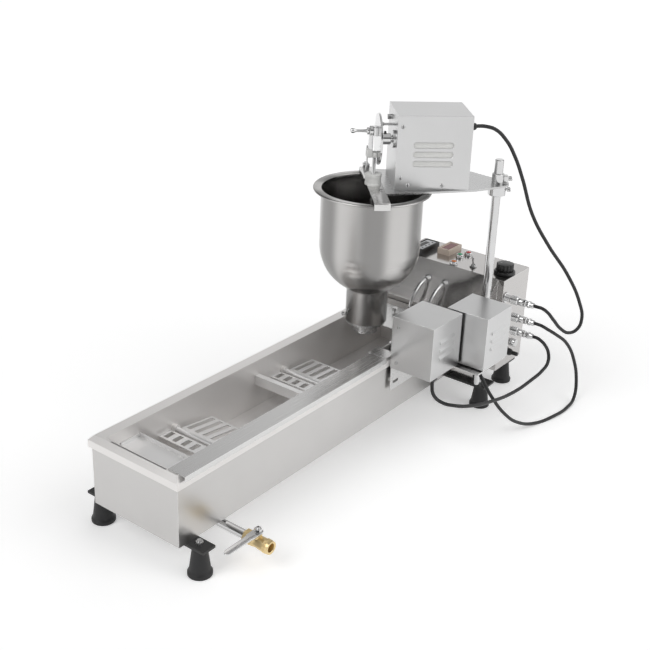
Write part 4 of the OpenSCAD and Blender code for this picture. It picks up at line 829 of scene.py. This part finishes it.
# Rubber feet, tapered upward from a base flange
footWork = {"places": [(36, -120), (36, 120), (865.2, -174.9), (865.2, 120), (1003, -152), (1003, 120)],
            "foot": [(0, 0), (20.8, 0), (22, 1.2), (22, 6.4), (21, 8), (19.6, 9.6), (18.6, 14), (15.4, 38),
                     (14, 47.6), (13.8, 52), (13, 55), (0, 55)]}
bm = bmesh.new()
for x, y in footWork["places"]:
    addTurned(bm, footWork["foot"], at(troughFrame, x, y, 0), steps=56)
finishPiece("rubber_feet", bm, "rubber", "base", ["feet"])

# Drain valve: hexagon and octagon ends, round body with a ribbed outlet, bonnet, and a flat lever with its nut
valveWork = {"inlet": (118, -150, 47), "stem": (118, -177.36, 47), "leverPlace": (118, -177.36, 65),
             "inletEnd": [(8.7, 0), (12.2, 0), (13, 0.8), (13, 13.2), (12.2, 14), (8.7, 14), (8.7, 0)],
             "body": [(8.7, 13), (12, 13.4), (12, 21), (11, 24), (11, 31), (12, 34), (12, 43)],
             "ribs": 10, "ribBase": 12.4, "ribHeight": 0.5, "ribStart": 44.6, "ribStep": 0.8,
             "bore": [(12.4, 53.6), (12, 57), (9, 57), (8, 56), (8, 45), (5.5, 44), (5.5, 14), (8.7, 13)],
             "outletEnd": [(10, 43), (12.4, 43), (13, 43.6), (13, 48.4), (12.4, 49), (10, 49), (10, 43)],
             "bonnet": [(3.06, 4), (7.5, 4), (7.5, 15), (6.9, 16), (3.06, 16), (3.06, 4)]}
leverWork = {"tip": 7, "tipCentre": (-75, 0), "eye": 9, "neckLow": [(-24, -7), (-20, -9), (0, -9)],
             "neckHigh": [(-20, 9), (-24, 7)], "thickness": 3, "edge": 0.5,
             "nut": [(0, 3), (6.4, 3), (7, 3.6), (7, 8.3), (6.4, 9), (3.2, 9), (2.6, 12), (0, 12)]}
inletPlace = at(troughFrame, *valveWork["inlet"], "-y")
outletRibs = [(valveWork["ribBase"] + valveWork["ribHeight"] * (i % 2),
               valveWork["ribStart"] + i * valveWork["ribStep"]) for i in range(valveWork["ribs"])]
bm = bmesh.new()
addTurned(bm, valveWork["inletEnd"], inletPlace, steps=hexagon)
addTurned(bm, valveWork["body"] + outletRibs + valveWork["bore"], inletPlace, steps=48)
addTurned(bm, valveWork["outletEnd"], inletPlace, steps=octagon)
addTurned(bm, valveWork["bonnet"], at(troughFrame, *valveWork["stem"]), steps=40)
finishPiece("brass_valve", bm, "brass", "base", ["valve_body"], sharp=28)
leverOutline = arcPoints(leverWork["tip"], 90, 270, 16, leverWork["tipCentre"]) + leverWork["neckLow"]
leverOutline += arcPoints(leverWork["eye"], -90, 90, 16) + leverWork["neckHigh"]
leverPlace = at(troughFrame, *valveWork["leverPlace"])
bm = bmesh.new()
addCut(bm, leverOutline, leverWork["thickness"], leverPlace, edge=leverWork["edge"])
addTurned(bm, leverWork["nut"], leverPlace, steps=hexagon)
finishPiece("valve_handle_bar", bm, "polished", "valve_handle", ["valve_lever"])
print("control head, feet and drain done")

# Studio: pale floor (its half width in metres), and a dome that is white low down, greyer above and
# darker in two sectors
studio = {"floor": 9.0, "floorColour": (0.93, 0.93, 0.93, 1), "floorRoughness": 0.8, "floorShine": 0.1, "lift": 0.3,
          "white": (1, 1, 1, 1), "low": 1.0, "high": 0.6, "fade": (0.08, 0.75), "shade": 0.06,
          "shadeFrom": (0.1, 0.3), "shadeWidth": (0.55, 0.9), "shadeTowards": [(-0.78, -0.62, 0), (-0.2, 0.75, 0.6)]}


# The floor glows a little where it is seen or mirrored, but gives the object no extra light
def makeFloor(look):
    bm = bmesh.new()
    bmesh.ops.create_grid(bm, x_segments=1, y_segments=1, size=look["floor"])
    mesh = bpy.data.meshes.new("floor")
    bm.to_mesh(mesh)
    bm.free()
    floor = bpy.data.objects.new("floor", mesh)
    bpy.context.scene.collection.objects.link(floor)
    material, tree, shader = startMaterial("pale floor")
    shader.inputs["Base Color"].default_value = look["floorColour"]
    shader.inputs["Roughness"].default_value = look["floorRoughness"]
    shader.inputs["Specular IOR Level"].default_value = look["floorShine"]
    shader.inputs["Emission Color"].default_value = look["white"]
    path = addNode(tree, "ShaderNodeLightPath")
    seen = addMaths(tree, "ADD", path.outputs["Is Camera Ray"], path.outputs["Is Glossy Ray"])
    seen = addMaths(tree, "ADD", seen, path.outputs["Is Transmission Ray"], use_clamp=True)
    tree.links.new(addMaths(tree, "MULTIPLY", seen, look["lift"]), shader.inputs["Emission Strength"])
    mesh.materials.append(material)


def makeDome(look):
    world = bpy.data.worlds.new("studio")
    world.use_nodes = True
    bpy.context.scene.world = world
    tree = world.node_tree
    background = tree.nodes["Background"]
    background.inputs["Color"].default_value = look["white"]
    around = addNode(tree, "ShaderNodeTexCoord").outputs["Generated"]
    height = addNode(tree, "ShaderNodeSeparateXYZ", Vector=around).outputs["Z"]
    level = ranged(tree, height, look["fade"], (look["low"], look["high"]), "SMOOTHSTEP")
    above = ranged(tree, height, look["shadeFrom"], (0, 1), "SMOOTHSTEP")
    for towards in look["shadeTowards"]:
        facing = addDot(tree, around, towards)
        sector = ranged(tree, facing, look["shadeWidth"], (0, 1 - look["shade"]), "SMOOTHSTEP")
        kept = addMaths(tree, "SUBTRACT", 1, addMaths(tree, "MULTIPLY", sector, above))
        level = addMaths(tree, "MULTIPLY", level, kept)
    tree.links.new(level, background.inputs["Strength"])


# Two broad soft lamps: the side they shine from, their strength and their spread in degrees
lampsOver = {"key": ((-0.9, 0.3, 1.0), 1.0, 35), "fill": ((0.3, -1.0, 0.9), 0.5, 40)}


def makeSun(name, towards, strength, spread):
    lamp = bpy.data.lights.new(name, "SUN")
    lamp.energy = strength
    lamp.angle = math.radians(spread)
    holder = bpy.data.objects.new(name, lamp)
    bpy.context.scene.collection.objects.link(holder)
    holder.matrix_world = Vector(towards).to_track_quat("Z", "Y").to_matrix().to_4x4()


makeFloor(studio)
makeDome(studio)
for name, look in lampsOver.items():
    makeSun(name, *look)
print("studio lit")

bpy.context.scene.view_settings.view_transform = "Standard"
